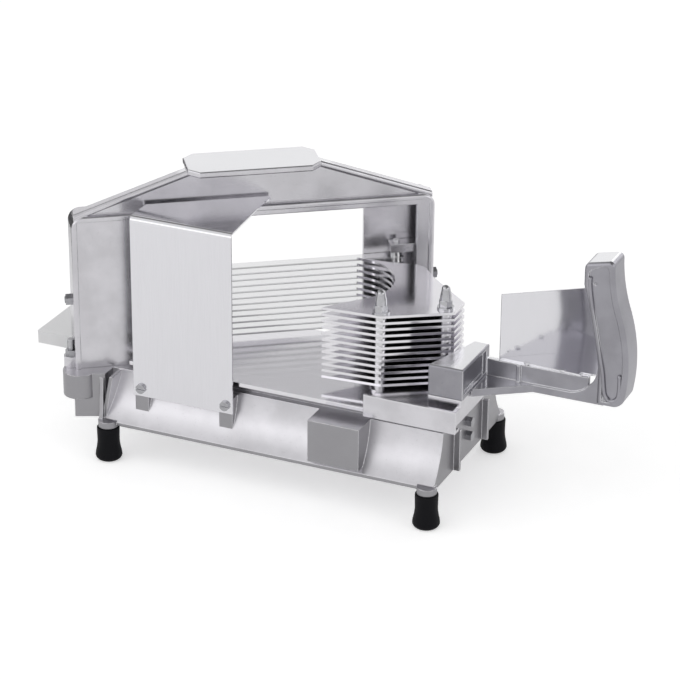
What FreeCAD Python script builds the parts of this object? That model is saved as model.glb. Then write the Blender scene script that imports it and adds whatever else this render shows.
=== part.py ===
import FreeCAD, Part
import math
import os
import re
import Sketcher

# A hand-pushed tomato slicer in cast aluminium and stainless sheet.
# Design axes: X runs towards the handle, Y to the back, Z up, and the ground is Z = 0.
# Sizes are worked out from the front left foot; every piece is then moved so that the
# document's origin lies under the middle of the whole slicer.
# The arch and its blades have axes of their own: X along the blades, Y through the arch.

SIZES = {
    # feet and base casting
    "foot_pitch_x": 250, "foot_pitch_y": 130, "foot_height": 26, "foot_top_radius": 8.3,
    "foot_flare_radius": 9.8, "foot_tread_radius": 7.2, "foot_waist_radius": 8.1,
    "foot_bore_floor": 8, "stub_radius": 5, "fit_gap": 0.05, "collar_radius": 7.2,
    "foot_neck": 1.5, "base_end_gap": 5, "base_flare": 0.5, "base_height": 38,
    "ledge_inset": 16, "base_lip": 2.5, "casting_wall": 4, "rail_inset": 21, "rail_height": 6.5,
    "rail_width": 6, "lug_from_end": 94, "lug_width": 39, "lug_reach": 4.5, "lug_rise": 6.1,
    "boss_width": 10.5, "boss_drop": 18, "boss_rise": 5,
    "ear_radius": 12.5, "ear_height": 18.5, "ear_web_width": 14, "ear_step_x": 8.5,
    "ear_step_y": 3.1,
    "end_rib_width": 2.6, "end_rib_reach": 4.5, "end_rib_height": 31.5, "end_rib_spread": 54,
    "end_bolt_rise": 15.5, "end_bolt_pitch": 11, "end_bolt_head": 3.8,
    # deck and cutting board
    "deck_thickness": 3, "deck_inset": 12, "deck_left": 12.3, "deck_end_gap": 3,
    "board_overhang": 74, "board_gap": 0.3, "board_inset": 30, "board_width": 72,
    "board_round": 1.5,
    # arch and blades
    "arch_x": 83.55, "arch_y": 77.46, "blade_angle": 35.5, "arch_left": -133.5, "arch_right": 131,
    "arch_depth": 23, "arch_wall": 4, "arch_rise": 118, "lintel": 8, "arch_corner": 9,
    "edge_round": 1.9, "face_recess": 1.5, "edge_bead": 4,
    "wide_leg": 42.5, "back_leg": 49, "narrow_leg": 13,
    "ridge_rise": 31.5, "ridge_lift": 1.5, "ridge_half": 44, "ridge_inset": 2, "web_front": 4,
    "rib_front": 1, "rib_depth": 10, "rib_height": 5, "pad_half": 48, "pad_round": 1.2,
    "pad_front": -14, "pad_depth": 40, "pad_proud": 2, "pad_thickness": 4.5, "pad_chamfer": 7.5,
    "pad_shift": -2.5,
    "lobe_wall": 3, "lobe_height": 8.5, "lobe_reach": 2, "lobe_offset": 8.5,
    "blade_count": 12, "blade_pitch": 4.7625, "blade_thickness": 0.55, "blade_bevel": 2.5,
    "blade_room": 0.5, "pin_inset": 26, "pin_radius": 2.5, "pin_end": 5, "ring_wall": 1.5,
    "holder_inset": 1, "holder_web": 8.9, "holder_lug": 6.5, "holder_foot": 3.8,
    "holder_lift": 0.5, "holder_proud": 7, "tension_drop": 26.5,
    "bolt_radius": 2.5, "nut_wall": 1.9, "nut_height": 4.5, "nut_room": 0.3,
    "thread_proud": 7, "tension_proud": 5.2,
    # guard
    "guard_front": 6, "guard_left": 18.5, "guard_right": 97.7, "guard_drop": 13.5,
    "guard_proud": 7, "sheet_thickness": 1.2, "guard_lap": 4, "guard_corner_inset": 6.3,
    "guard_bend": 3.8, "screw_inset": 6, "screw_radius": 2.2, "screw_head_radius": 3.6,
    "screw_head_height": 2, "slot_width": 0.9,
    # pusher
    "stroke_play": 0.3, "carriage_overhang": 11, "carriage_length": 69, "carriage_front": 9.6,
    "floor_rise": 4, "rim_rise": 7.3, "rim_drop": 2.4, "rim_width": 2.1, "keeper_width": 5,
    "plate_lift": 2.6125, "plate_thickness": 2, "plate_arc": 40.3, "slide_pad_radius": 7.9,
    "stack_inset": 4.5, "stack_y": 40.3, "post_step": -5, "post_span": 46.3, "post_boss": 7,
    "post_radius": 3, "tube_wall": 1.5,
    "washer_radius": 6, "washer_thickness": 1.5,
    "cap_hex_radius": 5, "cap_hex_height": 5, "cap_collar_radius": 4.1, "cap_tip_radius": 3.1,
    "cap_collar_height": 3, "cap_taper_height": 5,
    "seat_rise": 13, "block_length": 25, "block_front": 18, "block_back": 62,
    "block_rise": 23, "block_wall": 3, "block_round": 1.5, "block_lip": 1.5,
    "block_recess": 3, "bolt_bite": 12,
    # handle
    "arm_drop": 5, "flange_thickness": 5.5, "arm_height": 18, "arm_front": 62,
    "arm_web_front": 64, "arm_web_width": 4, "arm_reach": 70.4, "grip_width": 21.5,
    "grip_height": 107.5, "grip_front": 61, "grip_depth": 23, "grip_swell": 13.02,
    "grip_rim": 3.6, "grip_recess": 1.6, "grip_round": 2.5,
    "fence_offset": 120, "fence_left": 150.5, "fence_right": 236, "fence_height": 49,
    "fence_hole": 1.3, "fence_head_radius": 2.2, "fence_head_height": 0.8,
    "fence_set_back": 182.45,
}

# Sizes that follow from the ones above.
DERIVED = {
    "base_bottom": "foot_height + foot_neck",
    "base_left": "-base_end_gap",
    "base_right": "foot_pitch_x + base_end_gap",
    "base_top": "base_bottom + base_height",
    "rail_top": "base_top + rail_height",
    "deck_top": "rail_top + deck_thickness",
    "deck_right": "base_right - deck_end_gap",
    "deck_back": "foot_pitch_y - deck_inset",
    "middle_y": "foot_pitch_y / 2",
    "lug_left": "base_right - lug_from_end",
    "lug_bottom": "base_bottom + lug_rise",
    "arch_height": "base_top + arch_rise",
    "window_height": "arch_height - lintel",
    "ridge_foot": "arch_height + ridge_lift",
    "ridge_height": "arch_height + ridge_rise",
    "pad_height": "ridge_height + pad_proud",
    "guard_top": "arch_height + guard_proud",
    "guard_bottom": "base_top - guard_drop",
    "guard_corner_x": "guard_right - guard_corner_inset",
    "boss_front": "guard_front + sheet_thickness",
    "screw_height": "guard_bottom + screw_inset",
    "boss_bottom": "screw_height - boss_drop",
    "screw_left_x": "guard_left + screw_inset",
    "screw_right_x": "guard_right - screw_inset",
    "nut_radius": "bolt_radius + nut_wall",
    "lobe_radius": "bolt_radius + lobe_wall",
    "lobe_left": "arch_left - lobe_reach",
    "lobe_right": "arch_right + lobe_reach",
    "lobe_back": "arch_depth - lobe_offset",
    "lobe_left_x": "arch_x + lobe_left * cos(blade_angle) - lobe_offset * sin(blade_angle)",
    "lobe_left_y": "arch_y + lobe_left * sin(blade_angle) + lobe_offset * cos(blade_angle)",
    "lobe_right_x": "arch_x + lobe_right * cos(blade_angle) - lobe_back * sin(blade_angle)",
    "lobe_right_y": "arch_y + lobe_right * sin(blade_angle) + lobe_back * cos(blade_angle)",
    "ear_left_x": "lobe_left_x + ear_step_x",
    "ear_left_y": "lobe_left_y - ear_step_y",
    "ear_right_x": "lobe_right_x - ear_step_x",
    "ear_right_y": "lobe_right_y + ear_step_y",
    "leg_skin": "face_recess + arch_wall",
    "blade_front": "leg_skin + blade_room",
    "blade_width": "arch_depth - 2 * blade_front",
    "holder_front": "leg_skin + holder_inset",
    "holder_depth": "arch_depth - leg_skin - blade_room - holder_front",
    "holder_drop": "deck_top + holder_lift",
    "holder_top": "plate_top + holder_proud",
    "tension_height": "holder_top - tension_drop",
    "pin_left": "arch_left + pin_inset",
    "pin_right": "arch_right - pin_inset",
    "pin_line": "blade_front + blade_width / 2",
    "ring_radius": "pin_radius + ring_wall",
    "floor_top": "deck_top + floor_rise",
    "rim_top": "floor_top + rim_rise",
    "rim_bottom": "rail_top - rim_drop",
    "plate_top": "floor_top + plate_lift + (blade_count - 1) * blade_pitch + plate_thickness",
    "gap_below_plate": "blade_pitch - plate_thickness",
    "blade_top": "plate_top - plate_thickness - gap_below_plate / 2",
    "carriage_right": "base_right + carriage_overhang",
    "carriage_left": "carriage_right - carriage_length",
    "carriage_back": "foot_pitch_y - carriage_front",
    "floor_bottom": "deck_top + stroke_play",
    "lip_top": "rail_top - stroke_play",
    "stack_x": "carriage_left + stack_inset",
    "post_x": "stack_x + post_step",
    "post_y": "stack_y",
    "post_two_x": "post_x + post_span * cos(blade_angle)",
    "post_two_y": "post_y + post_span * sin(blade_angle)",
    "tube_radius": "post_radius + tube_wall",
    "pad_seat_height": "floor_top + seat_rise",
    "block_left": "carriage_right - block_length",
    "block_height": "pad_seat_height + block_rise",
    "arm_bottom": "pad_seat_height - arm_drop",
    "arm_flange_top": "arm_bottom + flange_thickness",
    "arm_web_top": "arm_bottom + arm_height",
    "grip_left": "carriage_right + arm_reach",
    "grip_right": "grip_left + grip_width",
    "grip_top": "arm_bottom + grip_height",
    "fence_top": "arm_web_top + fence_height",
    "fence_x": "carriage_right - fence_set_back",
    "mid_x": "(grip_right + grip_swell - board_overhang) / 2",
    "mid_y": "(ear_left_y + ear_right_y) / 2",
}

NAMES = re.compile(r"\b[a-z][a-z_0-9]*\b")
doc = FreeCAD.newDocument("tomato_slicer")
sheet = doc.addObject("Spreadsheet::Sheet", "Sizes")


def fill_sheet():
    """Write each driving size into the sheet as text, with its alias."""
    for row, (name, number) in enumerate(SIZES.items(), start=1):
        sheet.set(f"A{row}", name)
        sheet.set(f"B{row}", str(number))
        sheet.setAlias(f"B{row}", name)
    doc.recompute()


def spell(text):
    """Turn the names in a formula into cells of the sheet."""
    def cell(match):
        name = match.group(0)
        if name in SIZES:
            return "Sizes." + name
        if name in DERIVED:
            return "(" + spell(DERIVED[name]) + ")"
        return name
    return NAMES.sub(cell, str(text))


def value(text):
    """The number that a formula gives with the sheet as it stands."""
    return float(sheet.evalExpression(spell(text)))


def bind(thing, place, text):
    """Tie a property of an object to a formula."""
    thing.setExpression(place, spell(text))


def move(thing, x="0", y="0", z="0"):
    """Tie an object's position to three formulas."""
    bind(thing, "Placement.Base.x", x)
    bind(thing, "Placement.Base.y", y)
    bind(thing, "Placement.Base.z", z)


SUB_PARTS = []


def keep(thing, name, frame="base"):
    """Name a sub-part and stand it in the base's axes or in the arch's."""
    thing.Label = name
    if frame == "arch":
        move(thing, "arch_x - mid_x", "arch_y - mid_y")
        bind(thing, "Placement.Rotation.Angle", "blade_angle")
    else:
        move(thing, "-mid_x", "-mid_y")
    SUB_PARTS.append(thing)


# ---- sketches and features -------------------------------------------------------------

def plane_of(body, role):
    """One of a body's own origin planes."""
    return [plane for plane in body.Origin.OriginFeatures if plane.Role == role][0]


def new_sketch(body, name, plane, start):
    """An empty sketch on an origin plane, moved along the plane's axis to start."""
    drawing = body.newObject("Sketcher::SketchObject", name)
    drawing.AttachmentSupport = [(plane_of(body, plane + "_Plane"), "")]
    drawing.MapMode = "FlatFace"
    offset = f"-({start})" if plane == "XZ" else start
    bind(drawing, "AttachmentOffset.Base.z", offset)
    return drawing


def pin_point(drawing, edge, end, x, y):
    """Hold an end of an edge, or a centre, at two formulas."""
    for kind, text in (("DistanceX", x), ("DistanceY", y)):
        number = drawing.addConstraint(Sketcher.Constraint(kind, edge, end, value(text)))
        bind(drawing, f"Constraints[{number}]", text)


def bow(start, end, radius):
    """The short arc from start to end: a positive radius turns to the left."""
    chord = end - start
    length = chord.Length
    side = FreeCAD.Vector(-chord.y, chord.x, 0) / length
    rise = math.sqrt(radius ** 2 - (length / 2) ** 2)
    centre = start + chord / 2 + side * math.copysign(rise, radius)
    first, last = (start, end) if radius > 0 else (end, start)
    begin = math.atan2(first.y - centre.y, first.x - centre.x)
    finish = math.atan2(last.y - centre.y, last.x - centre.x)
    if finish < begin:
        finish += 2 * math.pi
    circle = Part.Circle(centre, FreeCAD.Vector(0, 0, 1), abs(radius))
    return Part.ArcOfCircle(circle, begin, finish)


def draw_outline(drawing, corners):
    """A closed outline of (x, y) corners; a third value bows the side that follows."""
    points = [FreeCAD.Vector(value(corner[0]), value(corner[1]), 0) for corner in corners]
    first_edge = drawing.GeometryCount
    for number, corner in enumerate(corners):
        start = points[number]
        end = points[(number + 1) % len(points)]
        if len(corner) == 3:
            drawing.addGeometry(bow(start, end, value(corner[2])))
        else:
            drawing.addGeometry(Part.LineSegment(start, end))
    for number, corner in enumerate(corners):
        after = (number + 1) % len(corners)
        leaving = 1 if len(corner) == 3 and value(corner[2]) < 0 else 2
        arriving = 2 if len(corners[after]) == 3 and value(corners[after][2]) < 0 else 1
        edge = first_edge + number
        drawing.addConstraint(
            Sketcher.Constraint("Coincident", edge, leaving, first_edge + after, arriving))
        pin_point(drawing, edge, 3 - leaving, corner[0], corner[1])
        if len(corner) == 3:
            size = Sketcher.Constraint("Radius", edge, abs(value(corner[2])))
            place = drawing.addConstraint(size)
            bind(drawing, f"Constraints[{place}]", f"abs({corner[2]})")


def draw_circle(drawing, x, y, radius):
    """A circle in a sketch, held by its centre and its radius."""
    centre = FreeCAD.Vector(value(x), value(y), 0)
    circle = Part.Circle(centre, FreeCAD.Vector(0, 0, 1), value(radius))
    edge = drawing.addGeometry(circle)
    pin_point(drawing, edge, 3, x, y)
    place = drawing.addConstraint(Sketcher.Constraint("Radius", edge, value(radius)))
    bind(drawing, f"Constraints[{place}]", radius)


def new_body(name):
    """An empty body."""
    return doc.addObject("PartDesign::Body", name + "_body")


def swell(body, plane, start, length, *outlines):
    """Pad outlines from start along the plane's axis, towards its positive end."""
    feature_name = f"{body.Name}_{len(body.Group)}"
    drawing = new_sketch(body, "outline_" + feature_name, plane, start)
    for outline in outlines:
        if isinstance(outline, tuple):
            draw_circle(drawing, *outline)
        else:
            draw_outline(drawing, outline)
    feature = body.newObject("PartDesign::Pad", "pad_" + feature_name)
    feature.Profile = drawing
    bind(feature, "Length", length)
    feature.Reversed = plane == "XZ"
    return feature


CUTS = []


def carve(body, plane, start, length, *outlines):
    """Pocket outlines from start along the plane's axis, towards its positive end."""
    feature_name = f"{body.Name}_{len(body.Group)}"
    drawing = new_sketch(body, "outline_" + feature_name, plane, start)
    for outline in outlines:
        if isinstance(outline, tuple):
            draw_circle(drawing, *outline)
        else:
            draw_outline(drawing, outline)
    feature = body.newObject("PartDesign::Pocket", "cut_" + feature_name)
    feature.Profile = drawing
    bind(feature, "Length", length)
    feature.Reversed = plane != "XZ"
    CUTS.append(feature)
    return feature


def soften(body, radius, test, kind="Fillet"):
    """Round or chamfer the edges of a body's last feature that pass a test."""
    doc.recompute()
    base = body.Tip
    edges = [f"Edge{number}" for number, edge in enumerate(base.Shape.Edges, start=1)
             if test(edge)]
    feature = body.newObject("PartDesign::" + kind, f"{kind}_{body.Name}_{len(body.Group)}")
    feature.Base = (base, edges)
    bind(feature, "Radius" if kind == "Fillet" else "Size", radius)
    return feature


def rectangle(left, bottom, right, top):
    """The four corners of an upright rectangle."""
    return [(left, bottom), (right, bottom), (right, top), (left, top)]


def is_upright(edge):
    """Whether an edge is straight and stands along Z."""
    if not isinstance(edge.Curve, Part.Line):
        return False
    return abs(edge.tangentAt(edge.FirstParameter).z) > 0.999


# ---- primitives ------------------------------------------------------------------------

TURNS = {
    "z": FreeCAD.Rotation(),
    "x": FreeCAD.Rotation(FreeCAD.Vector(0, 1, 0), 90),
    "y": FreeCAD.Rotation(FreeCAD.Vector(1, 0, 0), -90),
}


def rod(name, x, y, z, radius, length, axis="z"):
    """A cylinder that starts at a point and runs along an axis."""
    thing = doc.addObject("Part::Cylinder", name)
    bind(thing, "Radius", radius)
    bind(thing, "Height", length)
    thing.Placement.Rotation = TURNS[axis]
    move(thing, x, y, z)
    return thing


def hexagon(name, x, y, z, radius, length, axis="z"):
    """A six-sided bar that starts at a point and runs along an axis."""
    thing = doc.addObject("Part::Prism", name)
    thing.Polygon = 6
    bind(thing, "Circumradius", radius)
    bind(thing, "Height", length)
    thing.Placement.Rotation = TURNS[axis]
    move(thing, x, y, z)
    return thing


def slab(name, x, y, z, length, width, height):
    """A box from its lowest corner."""
    thing = doc.addObject("Part::Box", name)
    bind(thing, "Length", length)
    bind(thing, "Width", width)
    bind(thing, "Height", height)
    move(thing, x, y, z)
    return thing


def joined(name, *things):
    """One solid out of several that touch."""
    whole = doc.addObject("Part::MultiFuse", name)
    whole.Shapes = list(things)
    return whole


def drilled(name, base, tool):
    """A thing with another taken away from it."""
    whole = doc.addObject("Part::Cut", name)
    whole.Base = base
    whole.Tool = tool
    return whole


def grouped(name, things):
    """Separate solids kept together as one sub-part."""
    whole = doc.addObject("Part::Compound", name)
    whole.Links = list(things)
    return whole


# ---- base ------------------------------------------------------------------------------

FEET = {
    "front_left": ("0", "0"),
    "front_right": ("foot_pitch_x", "0"),
    "back_left": ("0", "foot_pitch_y"),
    "back_right": ("foot_pitch_x", "foot_pitch_y"),
}


def wall_outline(shrink, floor):
    """The base's cross-section in Y and Z, shrunk inwards by a wall."""
    return [
        (f"-base_flare + {shrink}", floor),
        (f"foot_pitch_y + base_flare - {shrink}", floor),
        (f"foot_pitch_y + base_flare - {shrink}", "base_bottom + base_lip", "-60"),
        (f"foot_pitch_y - ledge_inset - {shrink}", f"base_top - {shrink}"),
        (f"ledge_inset + {shrink}", f"base_top - {shrink}", "-60"),
        (f"-base_flare + {shrink}", "base_bottom + base_lip"),
    ]


def make_base():
    """The open-bottomed casting with its rails, lugs, bosses, ears and foot stubs."""
    body = new_body("base_casting")
    swell(body, "YZ", "base_left", "base_right - base_left", wall_outline("0", "base_bottom"))
    carve(body, "YZ", "base_left + casting_wall", "base_right - base_left - 2 * casting_wall",
          wall_outline("casting_wall", "base_bottom - 1"))
    rail_back = "foot_pitch_y - rail_inset"
    swell(body, "XY", "base_top", "rail_height",
          rectangle("deck_left + 4", "rail_inset", "deck_right - 4", "rail_inset + rail_width"),
          rectangle("deck_left + 4", f"{rail_back} - rail_width", "deck_right - 4", rail_back))
    lug_back = "ledge_inset + casting_wall"
    swell(body, "XY", "lug_bottom", "base_top - lug_bottom",
          rectangle("lug_left", "-lug_reach", "lug_left + lug_width", lug_back))
    for x in ("screw_left_x", "screw_right_x"):
        swell(body, "XY", "boss_bottom", "screw_height + boss_rise - boss_bottom",
              rectangle(f"{x} - boss_width / 2", "boss_front", f"{x} + boss_width / 2", lug_back))
    for x, y in (("ear_left_x", "ear_left_y"), ("ear_right_x", "ear_right_y")):
        swell(body, "XY", "base_top - ear_height", "ear_height", (x, y, "ear_radius"))
    for x, y in (("lobe_left_x", "lobe_left_y"), ("lobe_right_x", "lobe_right_y")):
        swell(body, "XY", "base_top - ear_height", "ear_height", (x, y, "lobe_radius"))
    ear_web = [("ear_left_x", "ear_left_y - ear_radius + 3"), ("base_left + 2", "3"),
               ("base_left + 2", "3 + ear_web_width"),
               ("ear_left_x", "ear_left_y + ear_radius - 3")]
    swell(body, "XY", "base_bottom + 4", "base_height - 4", ear_web)
    back_web = [("ear_right_x - ear_radius + 1", "foot_pitch_y - 6"),
                ("ear_right_x + ear_radius - 1", "foot_pitch_y - 6"),
                ("ear_right_x + ear_radius - 1", "ear_right_y"),
                ("ear_right_x - ear_radius + 1", "ear_right_y")]
    swell(body, "XY", "base_bottom + 6", "base_top - base_bottom - 10", back_web)
    for side in ("-1", "1"):
        swell(body, "XY", "base_bottom", "end_rib_height",
              rectangle("base_right - 1", f"middle_y + {side} * end_rib_spread / 2 - end_rib_width / 2",
                        "base_right + end_rib_reach",
                        f"middle_y + {side} * end_rib_spread / 2 + end_rib_width / 2"))
    corner_ribs(body)
    for x, y in FEET.values():
        swell(body, "XY", "foot_height", "base_bottom + base_lip + 1 - foot_height",
              (x, y, "collar_radius"))
        swell(body, "XY", "foot_bore_floor", "foot_height - foot_bore_floor + 1",
              (x, y, "stub_radius"))
    drill_base(body)
    keep(body, "base_casting")


def corner_ribs(body):
    """The pair of ribs that meet over the front left foot, and a web over each other foot."""
    reach = "ledge_inset + 1.5"
    swell(body, "YZ", "base_left - 1.5", "3", [
        ("-2", "base_bottom"), ("4", "base_bottom"), (reach, "base_top - 3"), ("1", "base_top - 3")])
    swell(body, "XZ", "1", f"{reach} - 1", [
        ("base_left - 1.2", "base_bottom"), ("base_left + 2", "base_bottom"),
        ("base_left + 9", "base_top - 1"), ("base_left + 6.4", "base_top - 1")])


def drill_base(body):
    """The screw and bolt holes in the base casting."""
    for x, y in (("lobe_left_x", "lobe_left_y"), ("lobe_right_x", "lobe_right_y")):
        carve(body, "XY", "base_bottom", "base_height + 1", (x, y, "bolt_radius + fit_gap"))
    for x in ("screw_left_x", "screw_right_x"):
        carve(body, "XZ", "boss_front - 1", "9", (x, "screw_height", "screw_radius + fit_gap"))
    for x, y in deck_screw_places():
        carve(body, "XY", "rail_top - 8", "9", (x, y, "screw_radius + fit_gap"))
    for x, y in board_screw_places():
        carve(body, "XY", "base_top - casting_wall - 1", "casting_wall + 2",
              (x, y, "screw_radius + fit_gap"))
    for z in end_bolt_heights():
        carve(body, "YZ", "base_right - casting_wall - 1", "casting_wall + 2",
              ("middle_y - 2", z, "bolt_radius + fit_gap"))


def deck_screw_places():
    """Where the deck is screwed to its rails."""
    front = "rail_inset + rail_width / 2"
    back = f"foot_pitch_y - ({front})"
    return [("deck_left + 10", front), ("deck_left + 10", back),
            ("deck_right - 10", front), ("deck_right - 10", back)]


def board_screw_places():
    """Where the cutting board is screwed to the top of the base."""
    return [("4", "middle_y - 24"), ("4", "middle_y + 24")]


def end_bolt_heights():
    """The heights of the two hexagon bolts in the right end wall."""
    return ["base_bottom + end_bolt_rise + end_bolt_pitch", "base_bottom + end_bolt_rise"]


def make_feet():
    """Four flared rubber tips pushed over the stubs of the casting."""
    for name, (x, y) in FEET.items():
        body = new_body("foot_" + name)
        drawing = new_sketch(body, "profile_" + name, "XZ", "0")
        bore = "stub_radius + fit_gap"
        draw_outline(drawing, [
            ("0", "0"), ("foot_tread_radius", "0", "4"),
            ("foot_flare_radius", "3.2"), ("foot_flare_radius - 0.3", "6", "-40"),
            ("foot_waist_radius", "15"), ("foot_top_radius", "foot_height - 1", "1.2"),
            ("foot_top_radius - 1", "foot_height"), (bore, "foot_height"),
            (bore, "foot_bore_floor"), ("0", "foot_bore_floor"),
        ])
        turned = body.newObject("PartDesign::Revolution", "turn_" + name)
        turned.Profile = drawing
        turned.ReferenceAxis = (drawing, ["V_Axis"])
        turned.Angle = 360
        body.Label = "foot_" + name
        move(body, f"{x} - mid_x", f"{y} - mid_y")
        SUB_PARTS.append(body)


def make_deck():
    """The polished plate that the pusher slides on, and its countersunk screws."""
    body = new_body("deck_plate")
    swell(body, "XY", "rail_top", "deck_thickness",
          rectangle("deck_left", "deck_inset", "deck_right", "deck_back"))
    for x, y in deck_screw_places():
        carve(body, "XY", "rail_top - 1", "deck_thickness + 2", (x, y, "screw_head_radius + 0.1"))
    keep(body, "deck_plate")
    screws = []
    for number, (x, y) in enumerate(deck_screw_places()):
        shank = rod(f"deck_shank_{number}", x, y, "rail_top - 8", "screw_radius", "8.5")
        head = rod(f"deck_head_{number}", x, y, "rail_top", "screw_head_radius",
                   "deck_thickness - 0.1")
        slot = slab(f"deck_slot_{number}", f"{x} - screw_head_radius", f"{y} - slot_width / 2",
                    "deck_top - 1", "2 * screw_head_radius", "slot_width", "2")
        screws.append(drilled(f"deck_screw_{number}",
                              joined(f"deck_blank_{number}", shank, head), slot))
    keep(grouped("deck_screws_group", screws), "deck_screws")


def make_board():
    """The white cutting board at the left end, held down by two screws from below."""
    body = new_body("cutting_board")
    swell(body, "XY", "base_top", "deck_top - base_top",
          rectangle("-board_overhang", "board_inset", "deck_left - board_gap",
                    "board_inset + board_width"))
    for x, y in board_screw_places():
        carve(body, "XY", "base_top - 1", "7", (x, y, "screw_radius + fit_gap"))
    soften(body, "board_round", is_upright)
    keep(body, "cutting_board")
    screws = []
    for number, (x, y) in enumerate(board_screw_places()):
        shank = rod(f"board_shank_{number}", x, y, "base_top - casting_wall", "screw_radius",
                    "casting_wall + 5.8")
        head = rod(f"board_head_{number}", x, y, "base_top - casting_wall - screw_head_height",
                   "screw_head_radius", "screw_head_height")
        screws.append(joined(f"board_screw_{number}", shank, head))
    keep(grouped("board_screws_group", screws), "board_screws")


def make_end_bolts():
    """Two hexagon bolts one above the other in the right end wall."""
    bolts = []
    for number, z in enumerate(end_bolt_heights()):
        shank = rod(f"end_shank_{number}", "base_right - casting_wall - 3", "middle_y - 2", z,
                    "bolt_radius", "casting_wall + 3.5", "x")
        head = hexagon(f"end_head_{number}", "base_right", "middle_y - 2", z, "end_bolt_head",
                       "end_bolt_head", "x")
        bolts.append(joined(f"end_bolt_{number}", shank, head))
    keep(grouped("end_bolts_group", bolts), "end_bolts")


# ---- arch and blades -------------------------------------------------------------------

def make_arch():
    """The cast tunnel over the blades with its ridge and palm pad."""
    arch = joined("arch_casting", make_tunnel(), make_ridge(), make_palm_pad())
    keep(arch, "arch_frame", "arch")


def make_tunnel():
    """The walls, lintel and wide and narrow leg plates around the blades."""
    body = new_body("arch_tunnel")
    foot = "base_top"
    swell(body, "XZ", "0", "arch_depth", [
        ("arch_left", foot), ("arch_left + arch_wall", foot),
        ("arch_left + arch_wall", "window_height"), ("arch_right - arch_wall", "window_height"),
        ("arch_right - arch_wall", foot), ("arch_right", foot),
        ("arch_right", "arch_height - arch_corner", "arch_corner"),
        ("arch_right - arch_corner", "arch_height"),
        ("arch_left + arch_corner", "arch_height", "arch_corner"),
        ("arch_left", "arch_height - arch_corner")])

    def is_outer_rim(edge):
        box = edge.BoundBox
        flat = box.YLength < 0.01 and edge.Length > value("arch_wall") + 1
        inside = (box.XMin > value("arch_left") + 1 and box.XMax < value("arch_right") - 1
                  and box.ZMax < value("arch_height") - 1)
        return flat and not inside
    soften(body, "edge_round", is_outer_rim)
    inner_left = "arch_left + arch_wall"
    inner_right = "arch_right - arch_wall"
    face_top = "arch_height - edge_bead"
    face = rectangle(inner_left, "window_height - 1", inner_right, face_top)
    carve(body, "XZ", "-1", "face_recess + 1", face)
    carve(body, "XZ", "arch_depth - face_recess", "face_recess + 1", face)
    front = "face_recess"
    back = "arch_depth - face_recess - arch_wall"
    wide = "(wide_leg - arch_wall)"
    narrow = "(narrow_leg - arch_wall)"
    swell(body, "XZ", front, "arch_wall",
          rectangle(f"{inner_left} - 1", foot, f"{inner_left} + {wide}", "window_height + 1"),
          rectangle(f"{inner_right} - {narrow}", foot, f"{inner_right} + 1", "window_height + 1"))
    swell(body, "XZ", back, "arch_wall",
          rectangle(f"{inner_left} - 1", foot, f"{inner_left} + {narrow}", "window_height + 1"),
          rectangle(f"{inner_right} - (back_leg - arch_wall)", foot, f"{inner_right} + 1",
                    "window_height + 1"))
    for x, y in (("lobe_left", "lobe_offset"), ("lobe_right", "lobe_back")):
        swell(body, "XY", foot, "lobe_height", (x, y, "lobe_radius"))
        carve(body, "XY", f"{foot} - 1", "lobe_height + 2", (x, y, "bolt_radius + fit_gap"))
        carve(body, "XY", f"{foot} + lobe_height", "nut_height + thread_proud + 3",
              (x, y, "nut_radius + nut_room"))
    for start in ("arch_left - 1", "arch_right - arch_wall - 1"):
        carve(body, "YZ", start, "arch_wall + 2",
              ("pin_line", "tension_height", "bolt_radius + fit_gap"))
    return body


def make_ridge():
    """The web that rises from the lintel and the rounded rib along its top."""
    body = new_body("arch_ridge")
    foot_left = "arch_left + ridge_inset"
    foot_right = "arch_right - ridge_inset"
    swell(body, "XZ", "rib_front", "rib_depth", [
        (foot_right, "ridge_foot - rib_height"), (foot_right, "ridge_foot"),
        ("ridge_half", "ridge_height"), ("-ridge_half", "ridge_height"),
        (foot_left, "ridge_foot"), (foot_left, "ridge_foot - rib_height"),
        ("-ridge_half", "ridge_height - rib_height"), ("ridge_half", "ridge_height - rib_height")])

    def is_long_edge(edge):
        return edge.BoundBox.YLength < 0.01 and edge.Length > value("rib_height") + 1
    soften(body, "rib_height / 2 - 0.3", is_long_edge)
    swell(body, "XZ", "web_front", "arch_wall", [
        (f"{foot_left} + 1", "ridge_foot - rib_height - 4"),
        (f"{foot_right} - 1", "ridge_foot - rib_height - 4"),
        (f"{foot_right} - 1", "ridge_foot - rib_height / 2"),
        ("ridge_half", "ridge_height - rib_height / 2"),
        ("-ridge_half", "ridge_height - rib_height / 2"),
        (f"{foot_left} + 1", "ridge_foot - rib_height / 2")])
    return body


def make_palm_pad():
    """The flat pad on the ridge that the other hand presses on."""
    body = new_body("arch_pad")
    pad_back = "pad_front + pad_depth"
    left = "pad_shift - pad_half"
    right = "pad_shift + pad_half"
    swell(body, "XY", "pad_height - pad_thickness", "pad_thickness", [
        (f"{left} + pad_chamfer", "pad_front"), (f"{right} - pad_chamfer", "pad_front"),
        (right, "pad_front + pad_chamfer"), (right, f"{pad_back} - pad_chamfer"),
        (f"{right} - pad_chamfer", pad_back), (f"{left} + pad_chamfer", pad_back),
        (left, f"{pad_back} - pad_chamfer"), (left, "pad_front + pad_chamfer")])
    soften(body, "pad_round", lambda edge: edge.BoundBox.ZLength < 0.01)
    return body


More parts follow.
